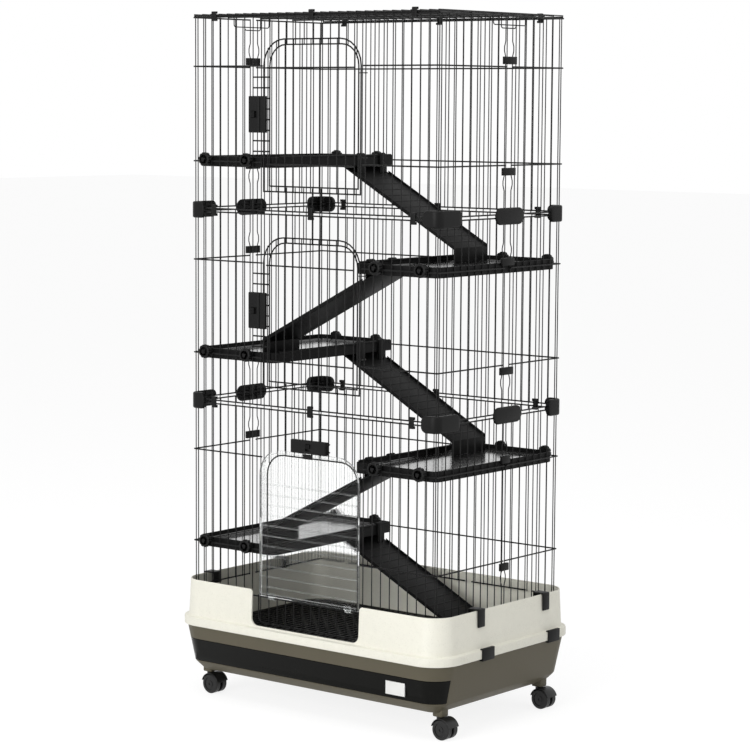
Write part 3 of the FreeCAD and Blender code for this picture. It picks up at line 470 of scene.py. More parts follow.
def add_spun(bm, points, centre, axis, steps):
    """Closed profile spun all the way round an axis."""
    verts = [bm.verts.new(p) for p in points]
    edges = [bm.edges.new(pair) for pair in zip(verts, verts[1:] + verts[:1])]
    sweep(bm, verts + edges, centre, axis, 2 * math.pi, steps, True)


def ring_edges(geom):
    """Edges in what an operator gave back."""
    return [g for g in geom if isinstance(g, bmesh.types.BMEdge)]


def ring_verts(geom):
    """Corners in what an operator gave back."""
    return [g for g in geom if isinstance(g, bmesh.types.BMVert)]


def ring_parts(geom):
    """Corners and edges in what an operator gave back."""
    return ring_verts(geom) + ring_edges(geom)


def add_bent_wire(bm, points, bend, radius, sides, steps=6):
    """Round wire along points, bent at every inner one."""
    heading = (points[1] - points[0]).normalized()
    place = Matrix.Translation(points[0]) @ facing(heading)
    start = bmesh.ops.create_circle(bm, segments=sides, radius=radius, matrix=place)["verts"]
    first = edges_at(start)
    ring = start + first
    at = points[0].copy()
    for corner, after in zip(points[1:], points[2:] + [None]):
        ahead = None if after is None else (after - corner).normalized()
        turn = 0.0 if ahead is None else heading.angle(ahead)
        back = bend * math.tan(turn / 2)
        step = (corner - at).length - back
        ring = ring_parts(bmesh.ops.extrude_edge_only(bm, edges=ring_edges(ring))["geom"])
        bmesh.ops.translate(bm, verts=ring_verts(ring), vec=heading * step)
        at = at + heading * step
        if ahead is None:
            break
        axis = heading.cross(ahead).normalized()
        centre = at + axis.cross(heading) * bend
        ring = ring_parts(sweep(bm, ring, centre, axis, turn, steps))
        at = corner + ahead * back
        heading = ahead
    bmesh.ops.holes_fill(bm, edges=first, sides=0)
    bmesh.ops.holes_fill(bm, edges=ring_edges(ring), sides=0)


def soften_wire_ends(bm, radius):
    """Take the sharp edge off cut wire ends."""
    edges = [e for e in bm.edges if any(len(f.verts) > 4 for f in e.link_faces)]
    soften(bm, edges, radius * 0.3, 1)


def stirrup_points(low, high, legs_up):
    """Four corners of a wire bent to a U, from its box."""
    size = high - low
    radius = min(size) / 2
    across = 0 if size.x > size.y else 1
    bottom = low.z + radius if legs_up else low.z
    top = high.z if legs_up else high.z - radius
    ends = (top, bottom, bottom, top) if legs_up else (bottom, top, top, bottom)
    sides = (low[across] + radius, low[across] + radius, high[across] - radius, high[across] - radius)
    points = []
    for side, z in zip(sides, ends):
        point = (low + high) / 2
        point[across] = side
        point.z = z
        points.append(point)
    return points, radius


def add_straight_wire(bm, low, high):
    """Round wire that fills a long box."""
    size = high - low
    along = max(range(3), key=lambda k: size[k])
    a = (low + high) / 2
    b = a.copy()
    a[along] = low[along]
    b[along] = high[along]
    add_rod(bm, a, b, min(size) / 2, sizes().wire_sides)


def rounded_loop(bm, middle, half_x, half_y, radius, z, steps):
    """Level ring: a circle drawn apart into four rounded corners."""
    place = Matrix.Translation((middle.x, middle.y, z)) @ Matrix.Rotation(math.pi / (4 * steps), 4, "Z")
    verts = bmesh.ops.create_circle(bm, segments=4 * steps, radius=radius, matrix=place)["verts"]
    for sx in (-1, 1):
        for sy in (-1, 1):
            part = [v for v in verts if (v.co.x - middle.x) * sx > 0 and (v.co.y - middle.y) * sy > 0]
            shift = Vector((sx * (half_x - radius), sy * (half_y - radius), 0))
            bmesh.ops.translate(bm, verts=part, vec=shift)
    return edges_at(verts)


def add_stack(bm, middle, half_x, half_y, radius, section, steps=10, joined=False):
    """Walls through rings: each step of the section gives how far in and how high."""
    loops = []
    level = None
    for inset, z in section:
        z = z - SLIGHT if z == level else z
        level = z
        bend = max(radius - inset, LEAST_BEND)
        loops.append(rounded_loop(bm, middle, half_x - inset, half_y - inset, bend, z, steps))
    pairs = list(zip(loops, loops[1:]))
    if joined:
        pairs.append((loops[-1], loops[0]))
    for a, b in pairs:
        bmesh.ops.bridge_loops(bm, edges=a + b)
    if not joined:
        for loop in (loops[0], loops[-1]):
            bmesh.ops.edgeloop_fill(bm, edges=loop)


def add_outline(bm, outline, rounding, segments=8):
    """Flat face from the corners of an outline, some of them rounded."""
    verts = [bm.verts.new(p) for p in outline]
    face = bm.faces.new(verts)
    for vert, radius in zip(verts, rounding):
        if radius:
            made = bmesh.ops.bevel(bm, geom=[vert], offset=radius, offset_type="OFFSET", segments=segments,
                                   profile=0.5, affect="VERTICES", clamp_overlap=True, material=-1)
            face = made["verts"][0].link_faces[0]
    return face


def add_plate(bm, outline, rounding, direction, segments=8):
    """Flat plate: an outline drawn out along a direction."""
    face = add_outline(bm, outline, rounding, segments)
    made = bmesh.ops.extrude_face_region(bm, geom=[face], use_keep_orig=True)
    moved = ring_verts(made["geom"])
    bmesh.ops.translate(bm, verts=moved, vec=direction)
    return moved


def add_arc(bm, centre, out, radii, half, rounding, turns, steps):
    """Curved strip round a level axis: a section with two rounded corners, swept from an angle."""
    inner, outer = radii
    soft, segments = rounding
    first, angle = (math.radians(turn) for turn in turns)
    ring = [centre + Vector((out * r * math.cos(first), side * half, r * math.sin(first)))
            for r, side in ((inner, -1), (outer, -1), (outer, 1), (inner, 1))]
    face = add_outline(bm, ring, (0, soft, soft, 0), segments)
    sweep(bm, [face], centre, Y_AXIS, -out * angle, steps)


def cut_away(piece_bm, cutter_bm):
    """Cut one closed mesh out of another."""
    objects = []
    for name, bm in (("cut_body", piece_bm), ("cut_tool", cutter_bm)):
        bmesh.ops.recalc_face_normals(bm, faces=bm.faces)
        objects.append(to_object(bm, name))
    body, tool = objects
    cut = body.modifiers.new("cut", "BOOLEAN")
    cut.object = tool
    cut.operation = "DIFFERENCE"
    cut.solver = "EXACT"
    bpy.context.view_layer.update()
    result = bmesh.new()
    result.from_object(body, bpy.context.evaluated_depsgraph_get())
    for obj in objects:
        mesh = obj.data
        bpy.data.objects.remove(obj)
        bpy.data.meshes.remove(mesh)
    return result


# Wire panels


def seam_places():
    """Boxes of the seam sleeves on the left and right."""
    places = {-1: [], 1: []}
    for low, high in boxes("seam_sleeves"):
        places[1 if low.x > 0 else -1].append((low, high))
    return places


def bulge_points(low, high, side):
    """Path of a seam bar that bulges above its upper sleeve and below its lower one."""
    size = sizes()
    sleeves = [b for b in seam_places()[side] if low.z < b[0].z < high.z]
    sleeves.sort(key=lambda b: b[0].z)
    middle = (low + high) / 2
    seam = (sleeves[0][0].y + sleeves[0][1].y) / 2
    out = Vector((0, math.copysign(size.bulge_out, middle.y - seam), 0))
    spans = [(sleeves[0][0].z - size.bulge_length, sleeves[0][0].z)]
    spans.append((sleeves[-1][1].z, sleeves[-1][1].z + size.bulge_length))
    points = [Vector((middle.x, middle.y, low.z))]
    for z0, z1 in spans:
        for share, apart in ((0, 0), (0.36, 1), (0.64, 1), (1, 0)):
            points.append(Vector((middle.x, middle.y, z0 + (z1 - z0) * share)) + out * apart)
    points.append(Vector((middle.x, middle.y, high.z)))
    return points


def dress_panel(node, legs_up, bend):
    """Round wires for the square ones of a panel."""
    bm = bmesh.new()
    size = sizes()
    side = {"left": -1, "right": 1}.get(node.split("_")[0])
    radius = 0.001
    for points in solids(node):
        low, high = corners(points)
        radius = min(high - low) / 2
        if len(points) > 8:
            route, radius = stirrup_points(low, high, legs_up)
            add_bent_wire(bm, route, bend, radius, size.wire_sides)
        elif side and high.z - low.z > TALL_WIRE and beside_seam(low, high, side):
            add_bent_wire(bm, bulge_points(low, high, side), BULGE_BEND, radius, size.wire_sides, 3)
        else:
            add_straight_wire(bm, low, high)
    soften_wire_ends(bm, radius)
    dress(bm, "wires_" + node, node, ["wire"])


def beside_seam(low, high, side):
    """Whether a bar is one of the pair that a seam sleeve holds."""
    middle = (low.y + high.y) / 2
    held = [b for b in seam_places()[side] if low.z < b[0].z < high.z]
    return held[0][0].y < middle < held[0][1].y


class CAGE_OT_panels(bpy.types.Operator):
    """Wire panels, roof and doorway frames"""

    bl_idname = "cage.panels"
    bl_label = "Wire panels"

    def execute(self, context):
        size = sizes()
        for tier in TIERS:
            for side in ("front", "back", "left", "right"):
                dress_panel("%s_panel_%s" % (side, tier), True, size.dip_bend)
            dress_panel("doorway_" + tier, False, size.doorway_bend)
        dress_panel("roof_panel", True, size.stirrup_bend)
        return {"FINISHED"}


# Joining pieces


class CAGE_OT_joiners(bpy.types.Operator):
    """Corner pieces, ovals, clips and sleeves that join the panels"""

    bl_idname = "cage.joiners"
    bl_label = "Joining pieces"

    def execute(self, context):
        for node in ("corner_pieces_lower", "corner_pieces_upper"):
            dress_corners(node)
        dress_ovals()
        dress_clips()
        softened_copy("seam_sleeves", 0.0010, "fittings")
        return {"FINISHED"}


def dress_corners(node):
    """Corner pieces: a grooved section drawn along one leg, round the corner and along the other."""
    bm = bmesh.new()
    for low, high in boxes(node):
        add_corner(bm, low, high, sizes().corner_bend)
    dress(bm, "moulded_" + node, node, ["fittings"])


def end_rounding(half, radius, steps=5):
    """Rounded end of a strip: how far from the end, and what share of the full height is there."""
    turns = [k * math.pi / (2 * steps) for k in range(steps + 1)]
    return [(radius * (1 - math.cos(t)), (half - radius + radius * math.sin(t)) / half) for t in turns]


def lead(bm, ring, stops, heading, level):
    """Draw a ring out through stops, each a distance and a height share."""
    for (at, share), (after, next_share) in zip(stops, stops[1:]):
        ring = ring_parts(bmesh.ops.extrude_edge_only(bm, edges=ring_edges(ring))["geom"])
        verts = ring_verts(ring)
        bmesh.ops.translate(bm, verts=verts, vec=heading * abs(after - at))
        squeeze(bm, verts, next_share / share, level)
    return ring


def squeeze(bm, verts, share, level):
    """Scale some corners in height about a level."""
    bmesh.ops.scale(bm, vec=(1, 1, share), space=Matrix.Translation((0, 0, -level)), verts=verts)


def add_corner(bm, low, high, bend):
    """One corner piece in its box, open towards the middle of the cage."""
    sx, near_x, far_x = outward(low, high, 0)
    sy, near_y, far_y = outward(low, high, 1)
    wall = 0.0058
    lip = 0.0096
    edge = 0.0038
    nick = 0.0008
    tall = high.z - low.z
    level = (high.z + low.z) / 2
    grip = 0.30 * tall
    stops = end_rounding(tall / 2, sizes().corner_end)
    section = [(0, low.z), (0, high.z), (lip, high.z), (lip, high.z - grip), (wall, high.z - grip),
               (wall, low.z + grip), (lip, low.z + grip), (lip, low.z)]
    rounding = (edge, edge, nick, nick, 0, 0, nick, nick)
    points = [Vector((far_x, near_y - sy * inward, z)) for inward, z in section]
    begin = add_outline(bm, points, rounding, 4).edges[:]
    ring = list({v for e in begin for v in e.verts}) + begin
    squeeze(bm, ring_verts(ring), stops[0][1], level)
    ring = lead(bm, ring, stops, X_AXIS * sx, level)
    run = abs(near_x - far_x) - bend
    ring = lead(bm, ring, [stops[-1], (run, 1)], X_AXIS * sx, level)
    centre = Vector((near_x - sx * bend, near_y - sy * bend, 0))
    ring = ring_parts(sweep(bm, ring, centre, Z_AXIS, -sx * sy * math.pi / 2, 10))
    run = abs(near_y - far_y) - bend
    ring = lead(bm, ring, [(0, 1), (run - stops[-1][0], 1)], Y_AXIS * -sy, level)
    ring = lead(bm, ring, stops[::-1], Y_AXIS * -sy, level)
    end = ring_edges(ring)
    bmesh.ops.holes_fill(bm, edges=end, sides=0)
    soften(bm, begin + end, 0.0012, 2)


def dress_ovals():
    """Long rounded clips over the side seams: a plate and two lips behind it."""
    plate, soft, inset = 0.0048, 0.003, 0.021
    near, far = 0.0025, 0.0115
    bm = bmesh.new()
    for low, high in boxes("seam_ovals"):
        out, face, back = outward(low, high, 0)
        step = face - out * plate
        radius = (high.z - low.z) * 0.49
        outline = [Vector((step, y, z)) for y, z in
                   ((low.y, low.z), (high.y, low.z), (high.y, high.z), (low.y, high.z))]
        moved = add_plate(bm, outline, [radius] * 4, Vector((face - step, 0, 0)))
        rim = list({e for v in moved for e in v.link_edges if all(w in moved for w in e.verts)})
        soften(bm, rim, soft, 3)
        for lip in ((low.z + near, low.z + far), (high.z - far, high.z - near)):
            add_box(bm, (back, step), (low.y + inset, high.y - inset), lip, soft / 2)
    dress(bm, "moulded_seam_ovals", "seam_ovals", ["fittings"])


def dress_clips():
    """Small clips on the front and back rails: a face plate with a lip above and below the rails."""
    plate, lip_share, inset = 0.0040, 0.24, 0.003
    bm = bmesh.new()
    for low, high in boxes("rail_clips"):
        out, face, back = outward(low, high, 1)
        step = face - out * plate
        wide = (low.x, high.x)
        add_box(bm, wide, (face, step), (low.z, high.z), 0.0018, 3)
        lip = (high.z - low.z) * lip_share
        for level in ((low.z, low.z + lip), (high.z - lip, high.z)):
            add_box(bm, wide, (back, step), level, 0.0006, 1)
        for dz in (-0.004, 0, 0.004):
            ridge = around((low.z + high.z) / 2 + dz, 0.0008)
            add_box(bm, (low.x + inset, high.x - inset), around(face, 0.0006), ridge, 0.0004, 1)
    dress(bm, "moulded_rail_clips", "rail_clips", ["fittings"])


# Base


def halves(low, high):
    """Half the width and half the depth of a box."""
    return (high.x - low.x) / 2, (high.y - low.y) / 2


def base_half():
    """Half the width and depth of the base at the flange."""
    return halves(*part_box("surround"))


class CAGE_OT_surround(bpy.types.Operator):
    """Cream surround with its flange and front notch"""

    bl_idname = "cage.surround"
    bl_label = "Surround"

    def execute(self, context):
        size = sizes()
        low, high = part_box("surround")
        foot = low.z
        shelf = foot + 0.020
        top = high.z
        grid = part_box("floor_grid")[1].z
        wall = size.shell
        section = [(0, foot + 0.0008), (0, shelf - 0.0035), (0.0010, shelf - 0.0010), (0.0035, shelf),
                   (0.0075, shelf + 0.0002), (0.0100, shelf + 0.0016), (0.0112, shelf + 0.0050),
                   (0.0153, top - 0.0012), (0.0160, top), (0.0180, top), (0.0185, top - 0.0012),
                   (0.0152, shelf + 0.0020), (0.0153, grid + 0.0010), (0.0148, grid + 0.0006),
                   (0.0143, grid + 0.0010), (0.0142, shelf - wall), (wall, shelf - wall),
                   (wall, foot + 0.0008), (wall - 0.0008, foot), (0.0008, foot)]
        bm = bmesh.new()
        add_stack(bm, MIDDLE, *base_half(), size.base_corner, section, BASE_STEPS, joined=True)
        bm = cut_away(bm, self.notch(low, high))
        dress(bm, "surround_shell", "surround", ["cream"], 30.0)
        return {"FINISHED"}

    def notch(self, low, high):
        """Cutter of the notch's outline."""
        size = sizes()
        half = 0.160
        floor = low.z + 0.024
        flare = 0.008
        above = high.z + 0.03
        front = low.y - 0.02
        outline = [(-half - flare, above), (-half - flare, high.z), (-half, high.z), (-half, floor),
                   (half, floor), (half, high.z), (half + flare, high.z), (half + flare, above)]
        points = [Vector((x, front, z)) for x, z in outline]
        rounding = (0, 0, flare * 0.98, size.notch_bend, size.notch_bend, flare * 0.98, 0, 0)
        bm = bmesh.new()
        add_plate(bm, points, rounding, Vector((0, 0.07, 0)))
        return bm


class CAGE_OT_tub(bpy.types.Operator):
    """Taupe tub with its drawer opening and caster sockets"""

    bl_idname = "cage.tub"
    bl_label = "Tub"

    def execute(self, context):
        bm = bmesh.new()
        add_stack(bm, MIDDLE, *base_half(), sizes().base_corner, self.section(), BASE_STEPS)
        bm = cut_away(bm, self.opening())
        for place in WHEEL_PLACES:
            self.add_socket(bm, place)
        dress(bm, "tub_shell", "tub", ["taupe"], 30.0)
        return {"FINISHED"}

    def section(self):
        """Outside from the middle of the floor up to the rim, then down the inside."""
        low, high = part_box("tub")
        wall = sizes().shell
        foot = low.z + 0.012
        floor = foot + wall + 0.001
        knee = low.z + TUB_KNEE
        rim = high.z
        outer = [(0.060, foot), (0.0485, foot), (0.0450, foot + 0.0020), (0.0285, knee - 0.0040),
                 (KNEE_IN, knee), (RIM_IN, rim - 0.001), (0.0045, rim)]
        inner = [(0.0060, rim), (0.0070, rim - 0.001), (0.0260 + wall, knee), (0.0470 + wall, floor),
                 (0.060 + wall, floor)]
        return outer + inner

    def opening(self):
        """Cutter of the drawer opening, round to the side walls."""
        low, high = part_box("drawer")
        gap = 0.0005
        beyond = 0.1
        bm = bmesh.new()
        add_box(bm, (low.x - beyond, high.x + beyond), (low.y - beyond, drawer_break()),
                (low.z - gap, high.z + gap))
        return bm

    def add_socket(self, bm, place):
        """Square caster socket under the tub."""
        joint = JOINT_AT["swivel_" + place]
        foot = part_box("tub")[0].z
        half = 0.013
        add_box(bm, around(joint.x, half), around(joint.y, half), (foot, foot + 0.030), 0.003, 3)


def drawer_break():
    """Where the drawer front ends on the side walls."""
    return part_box("surround")[0].y + 0.060


class CAGE_OT_drawer(bpy.types.Operator):
    """Gloss black drawer with its tray and a bare label"""

    bl_idname = "cage.drawer"
    bl_label = "Drawer"

    def execute(self, context):
        low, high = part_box("drawer")
        tub_low, tub_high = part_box("tub")
        knee = tub_low.z + TUB_KNEE
        lean = (KNEE_IN - RIM_IN) / (tub_high.z - knee)
        bottom = KNEE_IN - lean * (low.z - knee)
        top = KNEE_IN - lean * (high.z - knee)
        wall = 0.004
        section = [(bottom, low.z + 0.0008), (bottom - 0.0004, low.z + 0.002),
                   (top + 0.0004, high.z - 0.002), (top, high.z - 0.0008), (top + 0.001, high.z),
                   (top + wall, high.z), (bottom + wall, low.z), (bottom + 0.001, low.z)]
        bm = bmesh.new()
        add_stack(bm, MIDDLE, *base_half(), sizes().base_corner, section, BASE_STEPS, joined=True)
        behind = bmesh.new()
        add_box(behind, (-1, 1), (drawer_break() - 0.0004, 1), (low.z - 0.1, high.z + 0.1))
        bm = cut_away(bm, behind)
        self.add_tray(bm, low, high)
        dress(bm, "drawer_body", "drawer", ["drawer"], 30.0)
        self.label(low, high)
        return {"FINISHED"}

    def add_tray(self, bm, low, high):
        """Shallow tray behind the front."""
        wall = 0.0025
        half = 0.352
        front = low.y + 0.008
        back = high.y
        middle = Vector((0, (front + back) / 2, 0))
        foot = low.z + 0.0008
        top = foot + 0.0375
        section = [(0.003, foot), (0.001, foot + 0.001), (0, foot + 0.004), (0, top - 0.001),
                   (0.001, top), (wall - 0.0005, top), (wall, top - 0.001), (wall, foot + 0.006),
                   (wall + 0.002, foot + wall)]
        add_stack(bm, middle, half, (back - front) / 2, 0.012, section, 5)

    def label(self, low, high):
        """Bare white label on the drawer front."""
        bm = bmesh.new()
        y = low.y + 0.0028
        z = (low.z + high.z) / 2 - 0.002
        add_box(bm, around(0.262, 0.027), (y - 0.0006, y + 0.002), around(z, 0.015), 0.0004)
        make_piece(bm, "drawer_label", "drawer", ["label"])


# Doors and latches


def add_eye(bm, centre, axis, ring, wire):
    """Wire eye: a small circle spun round an axis."""
    across = axis.orthogonal().normalized()
    place = Matrix.Translation(centre + across * ring) @ facing(axis.cross(across))
    made = bmesh.ops.create_circle(bm, segments=sizes().wire_sides, radius=wire, matrix=place)["verts"]
    sweep(bm, made + edges_at(made), centre, axis, 2 * math.pi, 16, True)


def dress_wire_door(tier):
    """Arched wire door with its hinge eyes and keeper."""
    node = "door_" + tier
    size = sizes()
    hinge = JOINT_AT[node + "_hinge"]
    bm = bmesh.new()
    eyes = []
    radius = 0.001
    for points in solids(node):
        low, high = corners(points)
        span = high - low
        if len(points) == 8:
            add_straight_wire(bm, low, high)
        elif span.z > TALL_WIRE:
            route, radius = stirrup_points(low, high, False)
            add_bent_wire(bm, route, size.door_bend, radius, size.wire_sides)
        elif span.z < 0.005:
            middle = Vector((hinge.x, hinge.y, (low.z + high.z) / 2))
            wire = span.z / 2
            start = Vector((low.x + 0.001, low.y + 0.001, middle.z))
            add_rod(bm, start, middle + Vector((-0.0028, -0.0018, 0)), wire * 0.9, size.wire_sides)
            eyes.append((middle, wire))
        else:
            keeper = (low, high)
    soften_wire_ends(bm, radius)
    for middle, wire in eyes:
        add_eye(bm, middle, Z_AXIS, 0.0031, wire)
    add_keeper(bm, *keeper)
    dress(bm, "wires_" + node, node, ["wire", "fittings"])


def add_keeper(bm, low, high):
    """Tall keeper on a door's leg, with a pocket that the bolt shoots into."""
    middle = (low.z + high.z) / 2
    pocket_low = Vector((low.x - 0.001, low.y + 0.0018, middle - POCKET_HALF))
    pocket_high = Vector((low.x + 0.007, high.y - 0.0012, middle + POCKET_HALF))
    add_pocketed(bm, (low, high), (pocket_low, pocket_high), 1)


def add_pocketed(bm, block, pocket, finish):
    """Block with a pocket cut into it and its edges rounded."""
    body = bmesh.new()
    add_block(body, *block)
    tool = bmesh.new()
    add_block(tool, *pocket)
    body = cut_away(body, tool)
    soften(body, sharp_edges(body.faces), 0.0007, 2)
    for face in body.faces:
        face.material_index = finish
    mesh = bpy.data.meshes.new("pocketed")
    body.to_mesh(mesh)
    body.free()
    bm.from_mesh(mesh)
    bpy.data.meshes.remove(mesh)


class CAGE_OT_doors(bpy.types.Operator):
    """Two wire doors and the clear drop-down door"""

    bl_idname = "cage.doors"
    bl_label = "Doors"

    def execute(self, context):
        dress_wire_door("middle")
        dress_wire_door("upper")
        self.clear_door()
        return {"FINISHED"}

    def clear_door(self):
        """Clear plate with a raised border, treads and two hinge tabs."""
        node = "door_lower"
        size = sizes()
        hinge = JOINT_AT[node + "_hinge"]
        low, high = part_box(node)
        half = (high.x - low.x) / 2
        inner = hinge.y - 0.00215
        foot = hinge.z + 0.004
        thick = 0.006
        recess = 0.0026
        border = 0.005
        slope = 0.0016
        tread = 0.003
        pitch = 0.024
        half_tab = 0.0087
        bm = bmesh.new()
        outline = ((-half, foot), (-half, high.z), (half, high.z), (half, foot))
        points = [Vector((x, inner, z)) for x, z in outline]
        rounding = (0, size.door_bend, size.door_bend, 0)
        moved = add_plate(bm, points, rounding, Vector((0, -thick, 0)), 10)
        front = next(f for f in moved[0].link_faces if all(v in moved for v in f.verts))
        bmesh.ops.inset_region(bm, faces=[front], thickness=border, use_even_offset=True)
        bmesh.ops.inset_region(bm, faces=[front], thickness=slope, use_even_offset=True)
        bmesh.ops.translate(bm, verts=front.verts, vec=(0, recess, 0))
        pocket = (Vector((-POCKET_HALF, low.y + 0.0020, high.z - 0.0070)),
                  Vector((POCKET_HALF, low.y + 0.0060, high.z + 0.001)))
        tool = bmesh.new()
        add_block(tool, *pocket)
        bm = cut_away(bm, tool)
        wide = (border - half, half - border)
        z = foot + pitch - tread
        while z < high.z - size.door_bend:
            add_box(bm, wide, (inner - thick, inner - thick / 2), (z, z + tread), 0.0009)
            z += pitch
        for x in around(0, 0.1143):
            add_box(bm, around(x, half_tab), (inner - 0.004, inner), (hinge.z, foot + 0.008), 0.001)
            self.add_knuckle(bm, Vector((x, hinge.y, hinge.z)), half_tab)
        bm.normal_update()
        # Faces across the plate stay clear; edges, border slopes, tread tops and tabs get the edge finish with its
        # painted white glint
        for face in bm.faces:
            face.material_index = 0 if abs(face.normal.y) > 0.9 else 1
        dress(bm, "clear_door", node, ["clear", "clear_edge"], 30.0)
        self.keeper(inner, low.y, high.z, pocket)

    def add_knuckle(self, bm, centre, half):
        """Tube round the foot rail."""
        bore, outside = 0.0026, 0.0044
        profile = ((-half, bore), (half, bore), (half, outside), (-half, outside))
        add_spun(bm, [centre + Vector((x, 0, z)) for x, z in profile], centre, X_AXIS, 20)

    def keeper(self, inner, outer, head, pocket):
        """Black keeper at the head of the clear door, open at the top for the bolt."""
        bm = bmesh.new()
        block = (Vector((-0.0139, outer - 0.0002, head - 0.0118)),
                 Vector((0.0139, inner - 0.0062, head - 0.0002)))
        add_pocketed(bm, block, pocket, 0)
        make_piece(bm, "door_keeper", "door_lower", ["fittings"])


def softened_copy(node, offset, finish, segments=2):
    """Copy of a CAD node with its flat faces joined and its sharp edges rounded."""
    bm = merged(node)
    bmesh.ops.dissolve_limit(bm, angle_limit=math.radians(2), verts=bm.verts, edges=bm.edges)
    soften(bm, sharp_edges(bm.faces), offset, segments)
    dress(bm, "moulded_" + node, node, [finish], 35.0)


class CAGE_OT_latches(bpy.types.Operator):
    """Latches and their sliding bolts"""

    bl_idname = "cage.latches"
    bl_label = "Latches"

    def execute(self, context):
        for tier in TIERS:
            softened_copy("latch_" + tier, 0.0014, "fittings", 3)
            softened_copy("bolt_" + tier, 0.0006, "fittings")
        return {"FINISHED"}


class CAGE_OT_hooks(bpy.types.Operator):
    """Hooks on the surround and clips on the flange"""

    bl_idname = "cage.hooks"
    bl_label = "Hooks and clips"

    def execute(self, context):
        softened_copy("surround_hooks", 0.0009, "fittings")
        softened_copy("flange_clips", 0.0009, "fittings")
        return {"FINISHED"}


# Platforms, ramps and floor


class CAGE_OT_platforms(bpy.types.Operator):
    """Platforms with their clamp knobs"""

    bl_idname = "cage.platforms"
    bl_label = "Platforms"

    def execute(self, context):
        for k in range(1, 6):
            self.platform("platform_%d" % k)
        self.knobs()
        return {"FINISHED"}

    def platform(self, node):
        """Tray with a rounded rim, a grooved shiny floor and ribs below."""
        size = sizes()
        low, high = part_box(node)
        side = 1 if low.x > 0 else -1
        bead = size.bead
        wall = size.rim_wall
        spare = max(bead - wall / 2, 0)
        if side > 0:
            low.x += spare
        else:
            high.x -= spare
        top = high.z - bead
        middle = (low + high) / 2
        half_x, half_y = halves(low, high)
        deck = low.z + 0.0125
        under = low.z + 0.011
        section = [(0.060, deck), (0.0180, deck), (0.0170, deck - 0.0006), (0.0150, deck - 0.0006),
                   (0.0140, deck), (wall + 0.0012, deck), (wall, deck + 0.0012), (wall, top - 0.0008),
                   (wall - 0.0007, top), (0.0009, top), (0, top - 0.0009), (0, low.z + 0.0008),
                   (0.0007, low.z), (wall - 0.0007, low.z), (wall, low.z + 0.0008), (wall, under),
                   (0.060, under)]
        bm = bmesh.new()
        add_stack(bm, middle, half_x, half_y, size.rim_bend, section, 6)
        for face in bm.faces:
            centre = face.calc_center_median()
            face.normal_update()
            if abs(face.normal.z) > 0.5 and abs(centre.z - deck) < 0.001:
                face.material_index = 1
        for k in range(-2, 3):
            y = middle.y + k * half_y * 0.36
            add_box(bm, (low.x + wall, high.x - wall), around(y, 0.001), (low.z + 0.003, under), 0.0004, 1)
        edge = (low.x if side > 0 else high.x) + side * wall / 2
        reach = half_y - size.rim_bend
        add_rod(bm, Vector((edge, -reach, top)), Vector((edge, reach, top)), bead, 12)
        dress(bm, "tray_" + node, node, ["shelf", "shelf_floor"])

    def knobs(self):
        """Ten-lobed knobs with a hub and a screw."""
        bm = bmesh.new()
        for low, high in boxes("clamp_knobs"):
            out, face, back = outward(low, high, 1)
            middle = (low + high) / 2
            self.add_knob(bm, middle, face, out, (high.z - low.z) / 2, abs(face - back))
        dress(bm, "knobs", "clamp_knobs", ["fittings", "steel"])

    def add_knob(self, bm, middle, face, out, radius, whole):
        """Lobed head, stepped in towards the screw, on its shank."""
        depth = 0.012
        lobes = 10
        back = Vector((middle.x, face - out * depth, middle.z))
        axis = Vector((0, out, 0))
        place = Matrix.Translation(back) @ facing(axis)
        verts = bmesh.ops.create_circle(bm, cap_ends=True, segments=4 * lobes, radius=radius,
                                        matrix=place)["verts"]
        order = sorted(verts, key=lambda v: math.atan2(v.co.z - middle.z, v.co.x - middle.x))
        dips = order[::4]
        bmesh.ops.scale(bm, vec=(0.90, 1, 0.90), space=Matrix.Translation(-back), verts=dips)
        base = verts[0].link_faces[0]
        made = bmesh.ops.extrude_face_region(bm, geom=[base], use_keep_orig=True)["geom"]
        bmesh.ops.translate(bm, verts=ring_verts(made), vec=axis * (depth - 0.0025))
        head = next(g for g in made if isinstance(g, bmesh.types.BMFace))
        for inward, lift in ((0.0012, 0.0010), (0.0030, 0.0004), (0.0030, -0.0012), (0.0008, 0.0020)):
            bmesh.ops.inset_region(bm, faces=[head], thickness=inward, use_even_offset=True)
            bmesh.ops.translate(bm, verts=head.verts, vec=axis * lift)
        tip = back + axis * (depth - 0.0005)
        screw = add_rod(bm, tip - axis * 0.002, tip, 0.0036, 12)
        for screw_face in {f for v in screw for f in v.link_faces}:
            screw_face.material_index = 1
        add_rod(bm, back + axis * 0.001, back - axis * (whole - depth), 0.0024, 10)


